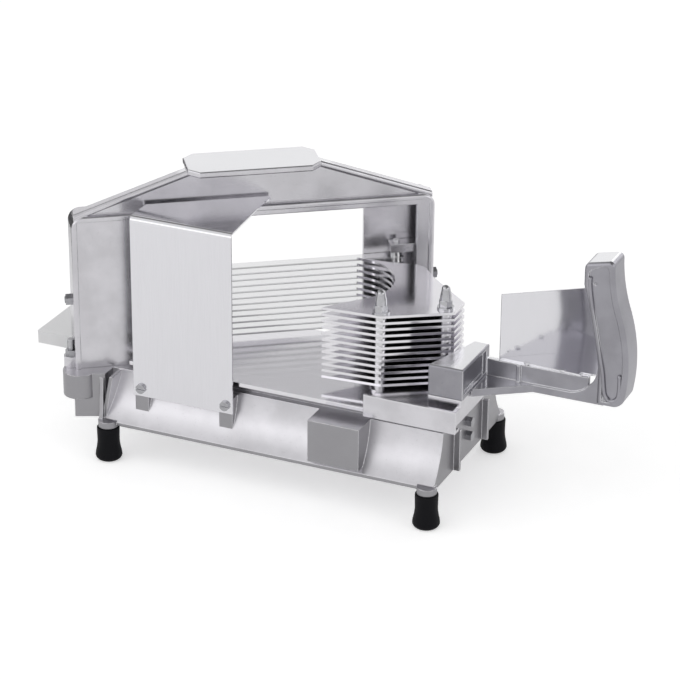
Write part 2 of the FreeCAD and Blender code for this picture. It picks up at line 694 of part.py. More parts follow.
def make_arch_bolts():
    """The two upright bolts, with their nuts, that hold the arch to the base's ears."""
    bolts = []
    places = (("left", "lobe_left", "lobe_offset", "base_top - ear_height - 4"),
              ("right", "lobe_right", "lobe_back", "base_bottom + 2"))
    for side, x, y, under in places:
        top = "base_top + lobe_height"
        shank = rod(f"arch_shank_{side}", x, y, f"{under} + 1", "bolt_radius",
                    f"{top} + nut_height + thread_proud - ({under})")
        nut = hexagon(f"arch_nut_{side}", x, y, top, "nut_radius", "nut_height")
        head = hexagon(f"arch_head_{side}", x, y, under, "nut_radius", "4")
        bolts.append(joined(f"arch_bolt_{side}", shank, nut, head))
    keep(grouped("arch_bolts_group", bolts), "arch_bolts", "arch")


def make_blades():
    """Twelve straight blades, one below each pusher plate."""
    for number in range(int(SIZES["blade_count"])):
        name = f"blade_{number + 1:02d}"
        body = new_body(name)
        middle = f"(blade_top - {number} * blade_pitch)"
        swell(body, "YZ", "pin_left - pin_end", "pin_right - pin_left + 2 * pin_end", [
            ("blade_front", middle),
            ("blade_front + blade_bevel", f"{middle} - blade_thickness / 2"),
            ("blade_front + blade_width", f"{middle} - blade_thickness / 2"),
            ("blade_front + blade_width", f"{middle} + blade_thickness / 2"),
            ("blade_front + blade_bevel", f"{middle} + blade_thickness / 2"),
        ])
        for pin in ("pin_left", "pin_right"):
            carve(body, "XY", f"{middle} - 2", "4", (pin, "pin_line", "pin_radius + fit_gap"))
        keep(body, name, "arch")


def make_blade_holders():
    """The two C-shaped holders that carry the pins inside the arch's legs."""
    sides = (("left", "arch_left + arch_wall", "1", "pin_left"),
             ("right", "arch_right - arch_wall", "-1", "pin_right"))
    for side, wall, way, pin in sides:
        body = new_body("blade_holder_" + side)
        inner = f"{wall} + {way} * holder_web"
        tip = f"{pin} + {way} * pin_end"
        swell(body, "XZ", "holder_front", "holder_depth", [
            (wall, "holder_drop"), (tip, "holder_drop"), (tip, "holder_drop + holder_foot"),
            (inner, "holder_drop + holder_foot"), (inner, "holder_top - holder_lug"),
            (tip, "holder_top - holder_lug"), (tip, "holder_top"), (wall, "holder_top")])
        carve(body, "XY", "holder_drop - 1", "holder_top - holder_drop + 2",
              (pin, "pin_line", "pin_radius + fit_gap"))
        hole_start = wall if side == "left" else f"{wall} - 6"
        carve(body, "YZ", hole_start, "6", ("pin_line", "tension_height", "bolt_radius + fit_gap"))
        keep(body, "blade_holder_" + side, "arch")


def make_blade_pins():
    """Two pins through the blades and the rings that space them."""
    pins = []
    rings = []
    bottom = "blade_top - (blade_count - 1) * blade_pitch - blade_thickness / 2"
    gaps = [("holder_drop + holder_foot", f"{bottom} - holder_drop - holder_foot"),
            ("blade_top + blade_thickness / 2",
             "holder_top - holder_lug - blade_top - blade_thickness / 2")]
    for number in range(1, int(SIZES["blade_count"])):
        gaps.append((f"blade_top - {number} * blade_pitch + blade_thickness / 2",
                     "blade_pitch - blade_thickness"))
    for side in ("left", "right"):
        pins.append(rod(f"pin_{side}", f"pin_{side}", "pin_line", "holder_drop", "pin_radius",
                        "holder_top - holder_drop + 2"))
        for number, (start, length) in enumerate(gaps):
            place = (f"pin_{side}", "pin_line", start)
            outer = rod(f"ring_{side}_{number}", *place, "ring_radius", length)
            inner = rod(f"ring_bore_{side}_{number}", *place, "pin_radius + fit_gap", length)
            rings.append(drilled(f"ring_cut_{side}_{number}", outer, inner))
    keep(grouped("blade_pins_group", pins), "blade_pins", "arch")
    keep(grouped("blade_spacers_group", rings), "blade_spacers", "arch")


def make_tension_bolts():
    """The sideways bolts that pull the two holders apart and keep the blades tight."""
    bolts = []
    for side, start, nut in (("left", "arch_left - tension_proud", "arch_left - nut_height"),
                             ("right", "arch_right - arch_wall - 5.5", "arch_right")):
        shank = rod(f"tension_shank_{side}", start, "pin_line", "tension_height", "bolt_radius",
                    "arch_wall + 5.5 + tension_proud", "x")
        head = hexagon(f"tension_nut_{side}", nut, "pin_line", "tension_height", "nut_radius",
                       "nut_height", "x")
        bolts.append(joined(f"tension_bolt_{side}", shank, head))
    keep(grouped("tension_bolts_group", bolts), "tension_bolts", "arch")


# ---- front guard -----------------------------------------------------------------------

def arch_line(x, back="0"):
    """The Y at which the arch's front plane, moved back, stands at a given X."""
    return f"arch_y + ({x} - arch_x) * tan(blade_angle) + {back} / cos(blade_angle)"


def make_guard():
    """The bent stainless sheet in front of the left half, with its screws."""
    body = new_body("front_guard")
    swell(body, "XZ", "guard_front", "sheet_thickness",
          rectangle("guard_left", "guard_bottom", "guard_right", "guard_top"))
    roof = [("guard_left", "guard_front"), ("guard_right", "guard_front"),
            ("guard_corner_x", arch_line("guard_corner_x")),
            ("guard_left", arch_line("guard_left"))]
    swell(body, "XY", "guard_top - sheet_thickness", "sheet_thickness", roof)
    flap = [("guard_left", arch_line("guard_left", "-sheet_thickness")),
            ("guard_corner_x", arch_line("guard_corner_x", "-sheet_thickness")),
            ("guard_corner_x", arch_line("guard_corner_x")),
            ("guard_left", arch_line("guard_left"))]
    swell(body, "XY", "guard_top - guard_lap", "guard_lap", flap)

    def is_front_bend(edge):
        box = edge.BoundBox
        level = abs(box.ZMin - value("guard_top")) < 0.01 and box.ZLength < 0.01
        return level and abs(box.YMin - value("guard_front")) < 0.01 and box.YLength < 0.01
    soften(body, "guard_bend", is_front_bend)
    for x in ("screw_left_x", "screw_right_x"):
        carve(body, "XZ", "guard_front - 1", "sheet_thickness + 2",
              (x, "screw_height", "screw_radius + fit_gap"))
    keep(body, "front_guard")
    screws = []
    for number, x in enumerate(("screw_left_x", "screw_right_x")):
        shank = rod(f"guard_shank_{number}", x, "guard_front - 0.5", "screw_height",
                    "screw_radius", "8.5", "y")
        head = rod(f"guard_head_{number}", x, "guard_front - screw_head_height", "screw_height",
                   "screw_head_radius", "screw_head_height", "y")
        slot = slab(f"guard_slot_{number}", f"{x} - 5", "guard_front - screw_head_height - 1",
                    "screw_height - slot_width / 2", "10", "2", "slot_width")
        screws.append(drilled(f"guard_screw_{number}",
                              joined(f"guard_blank_{number}", shank, head), slot))
    keep(grouped("guard_screws_group", screws), "guard_screws")


# ---- pusher ----------------------------------------------------------------------------

def make_carriage():
    """The casting that slides on the deck, with its front rim, keepers and handle seat."""
    body = new_body("carriage")
    swell(body, "XY", "floor_bottom", "floor_top - floor_bottom",
          rectangle("carriage_left", "carriage_front", "carriage_right", "carriage_back"))
    swell(body, "XY", "rim_bottom", "rim_top - rim_bottom",
          rectangle("carriage_left", "carriage_front", "carriage_right",
                    "carriage_front + rim_width"))
    swell(body, "XY", "rim_bottom", "floor_top - rim_bottom",
          rectangle("carriage_left", "carriage_back - rim_width", "carriage_right",
                    "carriage_back"))
    swell(body, "XY", "rim_bottom", "lip_top - rim_bottom",
          rectangle("carriage_left", "carriage_front + rim_width - 0.5", "carriage_right",
                    "carriage_front + rim_width + keeper_width"),
          rectangle("carriage_left", "carriage_back - rim_width - keeper_width",
                    "carriage_right", "carriage_back - rim_width + 0.5"))
    swell(body, "XY", "floor_top - 0.5", "rim_top - floor_top + 0.5",
          rectangle("carriage_right - 3", "carriage_front + rim_width - 0.5", "carriage_right",
                    "block_front"))
    swell(body, "XY", "floor_top - 0.5", "pad_seat_height - floor_top + 0.5",
          rectangle("block_left + 1", "block_front", "carriage_right", "block_back - 1"))
    swell(body, "XY", "floor_bottom", "floor_top - floor_bottom",
          ("post_x", "post_y", "post_boss"))
    for x, y in post_places():
        carve(body, "XY", "floor_bottom - 1", "floor_top - floor_bottom + 2",
              (x, y, "post_radius + fit_gap"))
    for x, y in handle_bolt_places():
        carve(body, "XY", "floor_bottom - 1", "pad_seat_height - floor_bottom + 2",
              (x, y, "bolt_radius + fit_gap"))
        carve(body, "XY", "floor_bottom - 1", "5", (x, y, "nut_radius + 0.4"))
    for x, y in slide_pad_places():
        carve(body, "XY", "floor_bottom - 1", "3", (x, y, "slide_pad_radius + 2 * fit_gap"))
    keep(body, "carriage")


def post_places():
    """Where the two posts stand, on a line parallel to the blades."""
    return [("post_x", "post_y"), ("post_two_x", "post_two_y")]


def handle_bolt_places():
    """Where the handle is bolted to its seat on the carriage."""
    return [("block_left + 13", "block_front + 12"), ("block_left + 19", "block_back - 12")]


def slide_pad_places():
    """Where the four nylon buttons sit in the underside of the carriage."""
    return [("carriage_left + 12", "carriage_front + 22"),
            ("carriage_left + 12", "carriage_back - 22"),
            ("carriage_right - 30", "carriage_front + 22"),
            ("carriage_right - 30", "carriage_back - 22")]


def make_slide_pads():
    """Four nylon buttons that carry the carriage on the deck."""
    pads = [rod(f"slide_pad_{number}", x, y, "deck_top + fit_gap", "slide_pad_radius",
                "floor_bottom + 2 - deck_top - fit_gap")
            for number, (x, y) in enumerate(slide_pad_places())]
    keep(grouped("slide_pads_group", pads), "slide_pads")


def plate_outline():
    """A pusher plate from above: hollow towards the blades, straight along the posts."""
    return [
        ("stack_x - 46.5", "stack_y - 8.3"),
        ("post_x - 3", "post_y - 5.5"),
        ("post_x + 3", "post_y - 5"),
        ("stack_x + 41.5", "stack_y + 22.5"),
        ("stack_x + 41.5", "stack_y + 41"),
        ("stack_x + 4.5", "stack_y + 74"),
        ("stack_x - 8.5", "stack_y + 89"),
        ("stack_x - 15.5", "stack_y + 90"),
        ("stack_x - 35.5", "stack_y + 86"),
        ("stack_x - 60.5", "stack_y + 83.7", "-plate_arc"),
        ("stack_x - 29.5", "stack_y + 13.7"),
    ]


def make_plates():
    """Twelve pusher plates on the two posts."""
    for number in range(int(SIZES["blade_count"])):
        name = f"pusher_plate_{number + 1:02d}"
        body = new_body(name)
        floor = f"plate_top - plate_thickness - {number} * blade_pitch"
        swell(body, "XY", floor, "plate_thickness", plate_outline())
        for x, y in post_places():
            carve(body, "XY", f"{floor} - 1", "plate_thickness + 2",
                  (x, y, "post_radius + fit_gap"))
        keep(body, name)


def make_posts():
    """The posts with the tubes between plates, the washers and the tall cap nuts."""
    posts = []
    tubes = []
    washers = []
    nuts = []
    lowest = "(plate_top - plate_thickness - (blade_count - 1) * blade_pitch)"
    gaps = [("floor_top", f"{lowest} - floor_top")]
    for number in range(1, int(SIZES["blade_count"])):
        gaps.append((f"plate_top - {number} * blade_pitch", "blade_pitch - plate_thickness"))
    for side, (x, y) in enumerate(post_places()):
        posts.append(rod(f"post_{side}", x, y, "floor_bottom", "post_radius",
                         "plate_top + washer_thickness + 4 - floor_bottom"))
        for number, (start, length) in enumerate(gaps):
            outer = rod(f"tube_{side}_{number}", x, y, start, "tube_radius", length)
            bore = rod(f"tube_bore_{side}_{number}", x, y, start, "post_radius + fit_gap", length)
            tubes.append(drilled(f"tube_cut_{side}_{number}", outer, bore))
        ring = rod(f"washer_ring_{side}", x, y, "plate_top", "washer_radius", "washer_thickness")
        hole = rod(f"washer_hole_{side}", x, y, "plate_top", "post_radius + fit_gap",
                   "washer_thickness")
        washers.append(drilled(f"washer_{side}", ring, hole))
        nuts.append(make_cap_nut(side, x, y))
    keep(grouped("pusher_posts_group", posts), "pusher_posts")
    keep(grouped("post_spacers_group", tubes), "post_spacers")
    keep(grouped("post_washers_group", washers), "post_washers")
    keep(grouped("cap_nuts_group", nuts), "cap_nuts")


def make_cap_nut(side, x, y):
    """A tall cap nut: a hexagon, a collar and a tapering dome, bored for its post."""
    seat = "plate_top + washer_thickness"
    body = hexagon(f"cap_hex_{side}", x, y, seat, "cap_hex_radius", "cap_hex_height")
    collar_seat = f"{seat} + cap_hex_height"
    collar = rod(f"cap_collar_{side}", x, y, collar_seat, "cap_collar_radius",
                 "cap_collar_height")
    taper = doc.addObject("Part::Cone", f"cap_cone_{side}")
    bind(taper, "Radius1", "cap_collar_radius")
    bind(taper, "Radius2", "cap_tip_radius")
    bind(taper, "Height", "cap_taper_height")
    move(taper, x, y, f"{collar_seat} + cap_collar_height")
    dome = doc.addObject("Part::Sphere", f"cap_dome_{side}")
    bind(dome, "Radius", "cap_tip_radius")
    move(dome, x, y, f"{collar_seat} + cap_collar_height + cap_taper_height")
    whole = joined(f"cap_whole_{side}", body, collar, taper, dome)
    hole = rod(f"cap_bore_{side}", x, y, f"{seat} - 1", "post_radius + fit_gap", "5.2")
    return drilled(f"cap_nut_{side}", whole, hole)


# ---- handle ----------------------------------------------------------------------------

def grip_outline(inset):
    """The grip from the front, all round or pulled in by an inset."""
    top = f"(grip_top - {inset})"
    left = f"(grip_left + {inset})"
    right = f"(grip_right - {inset})"
    return [
        (left, "grip_top - 20"), (left, f"{top} - 8", "-5"), (f"{left} + 4", f"{top} - 3"),
        (f"{right} - 4", top, "-4"), (right, f"{top} - 4.5", "120"),
        (f"{right} + 6.5", "grip_top - 40.5", "-122"),
        (f"{right} + 11.5", f"arm_bottom + 8 + {inset}", "-9"),
        (f"{right} + 4", f"arm_bottom + {inset}"),
        (f"{left} + 13", f"arm_bottom + {inset}"),
        (f"{left} + 13", f"arm_flange_top + 20", "428"),
    ]


def make_handle():
    """The one-piece casting of block, arm and upright grip."""
    keep(joined("handle_whole", make_block(), make_arm(), make_grip()), "handle_casting")


def make_block():
    """The block over the carriage, with a shallow recess in its right side."""
    body = new_body("handle_block")
    back = "arm_web_front + arm_web_width"
    swell(body, "XY", "pad_seat_height", "block_height - pad_seat_height", [
        ("block_left", "block_front"), ("carriage_right + block_lip", "block_front"),
        ("carriage_right + block_lip", back), ("block_left + 15", back),
        ("block_left + 9", "block_back - 16")])

    def is_seen(edge):
        box = edge.BoundBox
        upright = box.ZLength > 1 and box.XMax < value("carriage_right")
        return upright or box.ZMin > value("block_height") - 0.01
    soften(body, "block_round", is_seen)
    carve(body, "XY", "pad_seat_height + block_wall",
          "block_height - pad_seat_height - 2 * block_wall",
          rectangle("carriage_right + block_lip - block_recess", "block_front + block_wall",
                    "carriage_right + 5", "arm_web_front - 1"))
    for x, y in handle_bolt_places():
        carve(body, "XY", "pad_seat_height - 1", "bolt_bite + 2", (x, y, "bolt_radius + fit_gap"))
    return body


def make_arm():
    """The arm: an upright web, a flange along its foot and a gusset in the block's mouth."""
    body = new_body("handle_arm")
    back = "arm_web_front + arm_web_width"
    swell(body, "XZ", "arm_web_front", "arm_web_width", [
        ("block_left + 20", "pad_seat_height"), ("carriage_right + 1", "arm_bottom"),
        ("grip_left + 6", "arm_bottom"), ("grip_left + 6", "arm_web_top"),
        ("block_left + 20", "arm_web_top")])
    swell(body, "XY", "arm_bottom", "arm_flange_top - arm_bottom", [
        ("carriage_right + 0.5", "block_front + 19"), ("carriage_right + 37", "arm_front"),
        ("grip_left + 18", "arm_front"), ("grip_left + 18", back),
        ("carriage_right + 0.5", back)])
    swell(body, "XZ", "arm_front", "arm_web_front - arm_front + 1",
          rectangle("carriage_right + 24", "arm_flange_top - 1", "carriage_right + 27",
                    "arm_web_top"))
    for x in fence_screw_places():
        carve(body, "XY", "arm_web_top - 8", "9", (x, "arm_web_front + arm_web_width / 2", "fence_hole"))
    return body


def make_grip():
    """The upright grip with rounded edges and a sunk panel on its front."""
    body = new_body("handle_grip")
    swell(body, "XZ", "grip_front", "grip_depth", grip_outline("0"))
    soften(body, "grip_round", lambda edge: edge.BoundBox.YLength < 0.01)
    carve(body, "XZ", "grip_front - 1", "grip_recess + 1", grip_outline("grip_rim"))
    carve(body, "XZ", "grip_front - 1", "grip_recess + 2", ("grip_left + 8", "grip_top - 18", "1"))
    swell(body, "XZ", "grip_front + 1", "arm_web_front + arm_web_width - grip_front - 1", [
        ("grip_left - 6", "arm_bottom + 0.1"), ("grip_left + 14", "arm_bottom + 0.1"),
        ("grip_left + 14", "arm_flange_top + 22"),
        ("grip_left + 13", "arm_flange_top + 22", "-23"),
        ("grip_left - 6", "arm_flange_top")])
    return body


def make_handle_bolts():
    """Two bolts up through the carriage into tapped holes in the block."""
    bolts = []
    for number, (x, y) in enumerate(handle_bolt_places()):
        head = hexagon(f"handle_head_{number}", x, y, "floor_bottom + 0.5", "nut_radius", "3.5")
        shank = rod(f"handle_shank_{number}", x, y, "floor_bottom + 2", "bolt_radius",
                    "pad_seat_height + bolt_bite - floor_bottom - 2")
        bolts.append(joined(f"handle_bolt_{number}", head, shank))
    keep(grouped("handle_bolts_group", bolts), "handle_bolts")


def fence_point(along, back="0"):
    """X and Y of a point on the hand guard's plane, moved back through the sheet."""
    off = f"(-fence_offset + {back})"
    return (f"fence_x + {along} * cos(blade_angle) - {off} * sin(blade_angle)",
            f"arch_y + {along} * sin(blade_angle) + {off} * cos(blade_angle)")


def make_hand_guard():
    """The sheet between the grip and the blades, folded over the arm's web."""
    body = new_body("hand_guard")
    front_left = fence_point("fence_left")
    front_right = fence_point("fence_right")
    swell(body, "XY", "arm_web_top", "fence_top - arm_web_top", [
        front_left, front_right, fence_point("fence_right", "sheet_thickness"),
        fence_point("fence_left", "sheet_thickness")])
    swell(body, "XY", "arm_web_top", "sheet_thickness", [
        front_left, ("grip_left - 1", "arm_web_front + 0.2"),
        ("grip_left - 1", "arm_web_front + arm_web_width + stroke_play"),
        ("grip_left + 13 - stroke_play", "arm_web_front + arm_web_width + stroke_play"),
        ("grip_left + 13 - stroke_play", "grip_front + grip_depth"),
        front_right, fence_point("fence_right", "sheet_thickness"),
        fence_point("fence_left", "sheet_thickness")])
    for x in fence_screw_places():
        carve(body, "XY", "arm_web_top - 1", "sheet_thickness + 2",
              (x, "arm_web_front + arm_web_width / 2", "fence_hole"))
    keep(body, "hand_guard")


def fence_screw_places():
    """Where the hand guard is screwed down into the arm's web."""
    return ["grip_left - 40", "grip_left - 14"]


def make_fence_screws():
    """Two small screws through the hand guard into the arm's web."""
    screws = []
    middle = "arm_web_front + arm_web_width / 2"
    for number, x in enumerate(fence_screw_places()):
        head = rod(f"fence_head_{number}", x, middle, "arm_web_top + sheet_thickness",
                   "fence_head_radius", "fence_head_height")
        shank = rod(f"fence_shank_{number}", x, middle, "arm_web_top - 7", "fence_hole - fit_gap",
                    "sheet_thickness + 7.5")
        screws.append(joined(f"fence_screw_{number}", head, shank))
    keep(grouped("hand_guard_screws_group", screws), "hand_guard_screws")


# ---- build, test and write -------------------------------------------------------------

def test_features():
    """Stop if a feature failed, a cut removed nothing or a sub-part isn't sound."""
    for thing in doc.Objects:
        if "Invalid" in thing.State or "Error" in thing.State:
            raise RuntimeError(f"{thing.Name} failed: {thing.State} {thing.getStatusString()}")
    for cut in CUTS:
        before = cut.BaseFeature.Shape.Volume
        if cut.Shape.Volume > before - 0.01:
            raise RuntimeError(f"{cut.Name} removes nothing")
    for thing in SUB_PARTS:
        if thing.Shape.isNull() or not thing.Shape.isValid():
            raise RuntimeError(f"{thing.Label} isn't a sound shape")


def write_parts():
    """Write each sub-part to a file named after it."""
    os.makedirs("parts", exist_ok=True)
    for thing in SUB_PARTS:
        thing.Shape.exportStep(os.path.join("parts", thing.Label + ".step"))


def report_box():
    """Print the box of the whole slicer."""
    box = FreeCAD.BoundBox()
    for thing in SUB_PARTS:
        box.add(thing.Shape.BoundBox)
    print(f"{len(SUB_PARTS)} sub-parts, X {box.XMin:.2f} {box.XMax:.2f}, "
          f"Y {box.YMin:.2f} {box.YMax:.2f}, Z {box.ZMin:.2f} {box.ZMax:.2f}")


fill_sheet()
make_base()
make_feet()
make_deck()
make_board()
make_end_bolts()
make_arch()
make_arch_bolts()
make_blades()
make_blade_holders()
make_blade_pins()
make_tension_bolts()
make_guard()
make_carriage()
make_slide_pads()
make_plates()
make_posts()
make_handle()
make_handle_bolts()
make_hand_guard()
make_fence_screws()
doc.recompute()
test_features()
write_parts()
report_box()
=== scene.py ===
"""A hand-pushed tomato slicer: its finishes, its small fittings, the studio and the camera."""

import logging
import math
from dataclasses import dataclass, field
from enum import Enum
from typing import Any, Iterable, Sequence

import bmesh
import bpy
from mathutils import Matrix, Vector


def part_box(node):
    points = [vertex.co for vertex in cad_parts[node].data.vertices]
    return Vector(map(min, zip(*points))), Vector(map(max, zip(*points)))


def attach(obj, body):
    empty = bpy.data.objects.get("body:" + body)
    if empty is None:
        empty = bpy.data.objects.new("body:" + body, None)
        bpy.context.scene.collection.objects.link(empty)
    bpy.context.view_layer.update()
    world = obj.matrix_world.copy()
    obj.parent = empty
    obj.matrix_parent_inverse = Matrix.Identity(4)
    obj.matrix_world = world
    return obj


log = logging.getLogger("tomato_slicer")
logging.basicConfig(level=logging.INFO, format="%(name)s: %(message)s")

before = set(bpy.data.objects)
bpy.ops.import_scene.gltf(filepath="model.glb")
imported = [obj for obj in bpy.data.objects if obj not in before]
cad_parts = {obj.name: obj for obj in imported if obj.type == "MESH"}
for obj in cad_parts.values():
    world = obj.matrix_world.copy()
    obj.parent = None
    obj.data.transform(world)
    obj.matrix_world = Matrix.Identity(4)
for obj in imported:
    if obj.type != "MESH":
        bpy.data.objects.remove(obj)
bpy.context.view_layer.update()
MM = 0.001

BEVEL_SAMPLES = 6
# Walls found by this limit get painted shade.
WALL_LIMITS = (0.04, 0.16)    # A normal's Z, up or down: below the first it is a wall.
# Level tops found by this limit get a painted highlight.
TOP_LIMITS = (0.85, 0.97)     # A normal's Z: above the second it is a level top.

RIM_TOLERANCE = 0.01 * MM     # How far below a bolt's top its rim may lie.
THREAD_FOOT = 0.98            # Where a ridge starts, as a share of the bolt's radius.
THREAD_BELOW = 0.4            # From a crest down to its lower foot, in pitches.
THREAD_ABOVE = 0.3            # From a crest up to its upper foot, in pitches.
THREAD_SET_BACK = 0.4         # From the bolt's top down to the last crest, in pitches.

Colour = tuple[float, float, float]
Point = tuple[float, float, float]


class Slot(Enum):
    """The finishes that the record names."""

    CASTING = "casting"
    GRIP_CASTING = "grip_casting"
    POLISHED_PLATE = "polished_plate"
    BLADE_STEEL = "blade_steel"
    STEEL = "steel"
    GUARD_SHEET = "guard_sheet"
    FASTENER = "fastener"
    BOARD = "board"
    NYLON = "nylon"
    RUBBER = "rubber"


class Body(Enum):
    """The two bodies of the slicer."""

    BASE = "base"
    PUSHER = "pusher"


# ---- shader maths ----------------------------------------------------------------------


class Sock:
    """A node's output that adds Math nodes when it is used in an expression."""

    def __init__(self, graph: "Graph", link: bpy.types.NodeSocket) -> None:
        """Wrap an output.

        Args:
            graph: the graph that the output belongs to.
            link: the output itself.
        """
        self.graph = graph
        self.link = link

    def _math(self, operation: str, first: Any, second: Any) -> "Sock":
        """Add one Math node.

        Args:
            operation: the Math node's operation.
            first: its first value or link.
            second: its second value or link.

        Returns:
            The node's output.
        """
        return self.graph.node("ShaderNodeMath", {"operation": operation},
                               {0: first, 1: second})

    def __add__(self, other: Any) -> "Sock":
        """This plus a value."""
        return self._math("ADD", self, other)

    def __radd__(self, other: Any) -> "Sock":
        """A value plus this."""
        return self._math("ADD", other, self)

    def __sub__(self, other: Any) -> "Sock":
        """This less a value."""
        return self._math("SUBTRACT", self, other)

    def __rsub__(self, other: Any) -> "Sock":
        """A value less this."""
        return self._math("SUBTRACT", other, self)

    def __mul__(self, other: Any) -> "Sock":
        """This times a value."""
        return self._math("MULTIPLY", self, other)

    def __rmul__(self, other: Any) -> "Sock":
        """A value times this."""
        return self._math("MULTIPLY", other, self)

    def at_most(self, other: Any) -> "Sock":
        """The smaller of this and a value."""
        return self._math("MINIMUM", self, other)

    def at_least(self, other: Any) -> "Sock":
        """The larger of this and a value."""
        return self._math("MAXIMUM", self, other)

    def ramp(self, low: float, high: float, start: float = 0.0, end: float = 1.0) -> "Sock":
        """Map a range smoothly onto another.

        Args:
            low: the value that gives start.
            high: the value that gives end.
            start: the result at and below low.
            end: the result at and above high.

        Returns:
            The mapped value.
        """
        return self.graph.node(
            "ShaderNodeMapRange", {"interpolation_type": "SMOOTHSTEP"},
            {"Value": self, "From Min": low, "From Max": high, "To Min": start, "To Max": end})


class Graph:
    """The nodes of one material or world."""

    def __init__(self, tree: bpy.types.NodeTree) -> None:
        """Empty a node tree and keep it.

        Args:
            tree: the tree to fill.
        """
        self.tree = tree
        tree.nodes.clear()

    def node(self, kind: str, settings: dict[str, Any] | None = None,
             inputs: dict[Any, Any] | None = None, output: int | str = 0) -> Sock:
        """Add any node.

        Args:
            kind: the node's type.
            settings: the node's own settings, which are set first.
            inputs: values or links of its sockets, by name or number.
            output: the output to hand back.

        Returns:
            The chosen output.
        """
        made = self.tree.nodes.new(kind)
        for name, setting in (settings or {}).items():
            setattr(made, name, setting)
        for name, given in (inputs or {}).items():
            if isinstance(given, Sock):
                self.tree.links.new(given.link, made.inputs[name])
            else:
                made.inputs[name].default_value = given
        if not made.outputs:
            return Sock(self, None)
        return Sock(self, made.outputs[output])

    def blend(self, factor: Any, first: Any, second: Any) -> Sock:
        """Mix two colours.

        Args:
            factor: how much of the second.
            first: a colour or a link.
            second: a colour or a link.

        Returns:
            The mixed colour.
        """
        def rgba(colour: Any) -> Any:
            """A colour with its alpha, or the link as it is."""
            return colour if isinstance(colour, Sock) else (*colour, 1.0)
        return self.node("ShaderNodeMix", {"data_type": "RGBA"},
                         {0: factor, 6: rgba(first), 7: rgba(second)}, 2)

    def place(self, stretch: Sequence[float] = (1.0, 1.0, 1.0)) -> Sock:
        """The object's own coordinates, stretched.

        Args:
            stretch: the scale along X, Y and Z.

        Returns:
            The stretched coordinates.
        """
        own = self.node("ShaderNodeTexCoord", output="Object")
        return self.node("ShaderNodeMapping", {"vector_type": "POINT"},
                         {"Vector": own, "Scale": tuple(stretch)})

    def noise(self, scale: float, detail: float = 2.0, roughness: float = 0.5,
              stretch: Sequence[float] = (1.0, 1.0, 1.0)) -> Sock:
        """A noise between 0 and 1 in the object's own coordinates.

        Args:
            scale: how many cells to a metre.
            detail: how many finer layers.
            roughness: how strong they are.
            stretch: the scale along X, Y and Z.

        Returns:
            The noise.
        """
        return self.node("ShaderNodeTexNoise", {"noise_dimensions": "3D"},
                         {"Vector": self.place(stretch), "Scale": scale, "Detail": detail,
                          "Roughness": roughness})

    def rounded(self, radius: float) -> Sock:
        """The normal as if every edge were rounded.

        Args:
            radius: the rounding in metres.

        Returns:
            The normal.
        """
        return self.node("ShaderNodeBevel", {"samples": BEVEL_SAMPLES}, {"Radius": radius})

    def edge_mask(self, radius: float, low: float = 0.02, high: float = 0.2) -> Sock:
        """Where the surface turns within a radius: 1 on an edge, 0 on a flat.

        Args:
            radius: the reach in metres.
            low: the turn that still counts as flat.
            high: the turn that is all edge.

        Returns:
            The mask.
        """
        rounded = self.rounded(radius)
        plain = self.node("ShaderNodeNewGeometry", output="Normal")
        same = self.node("ShaderNodeVectorMath", {"operation": "DOT_PRODUCT"},
                         {0: rounded, 1: plain}, "Value")
        return (1 - same).ramp(low, high)

    def surface(self, inputs: dict[str, Any]) -> None:
        """Finish a material with one Principled shader.

        Args:
            inputs: values or links of the shader's sockets.
        """
        shader = self.node("ShaderNodeBsdfPrincipled", inputs=inputs)
        self.node("ShaderNodeOutputMaterial", inputs={"Surface": shader})


# ---- finishes --------------------------------------------------------------------------


@dataclass(frozen=True)
class Finish:
    """What every finish has: a name, a colour and how rough it is."""

    name: str
    colour: Colour
    roughness: float

    def paint(self, graph: Graph) -> None:
        """Fill the graph: each finish has its own way."""
        raise NotImplementedError

    def make(self) -> bpy.types.Material:
        """Make a new material with this finish.

        Returns:
            The material.
        """
        material = bpy.data.materials.new(self.name)
        material.use_nodes = True
        self.paint(Graph(material.node_tree))
        return material


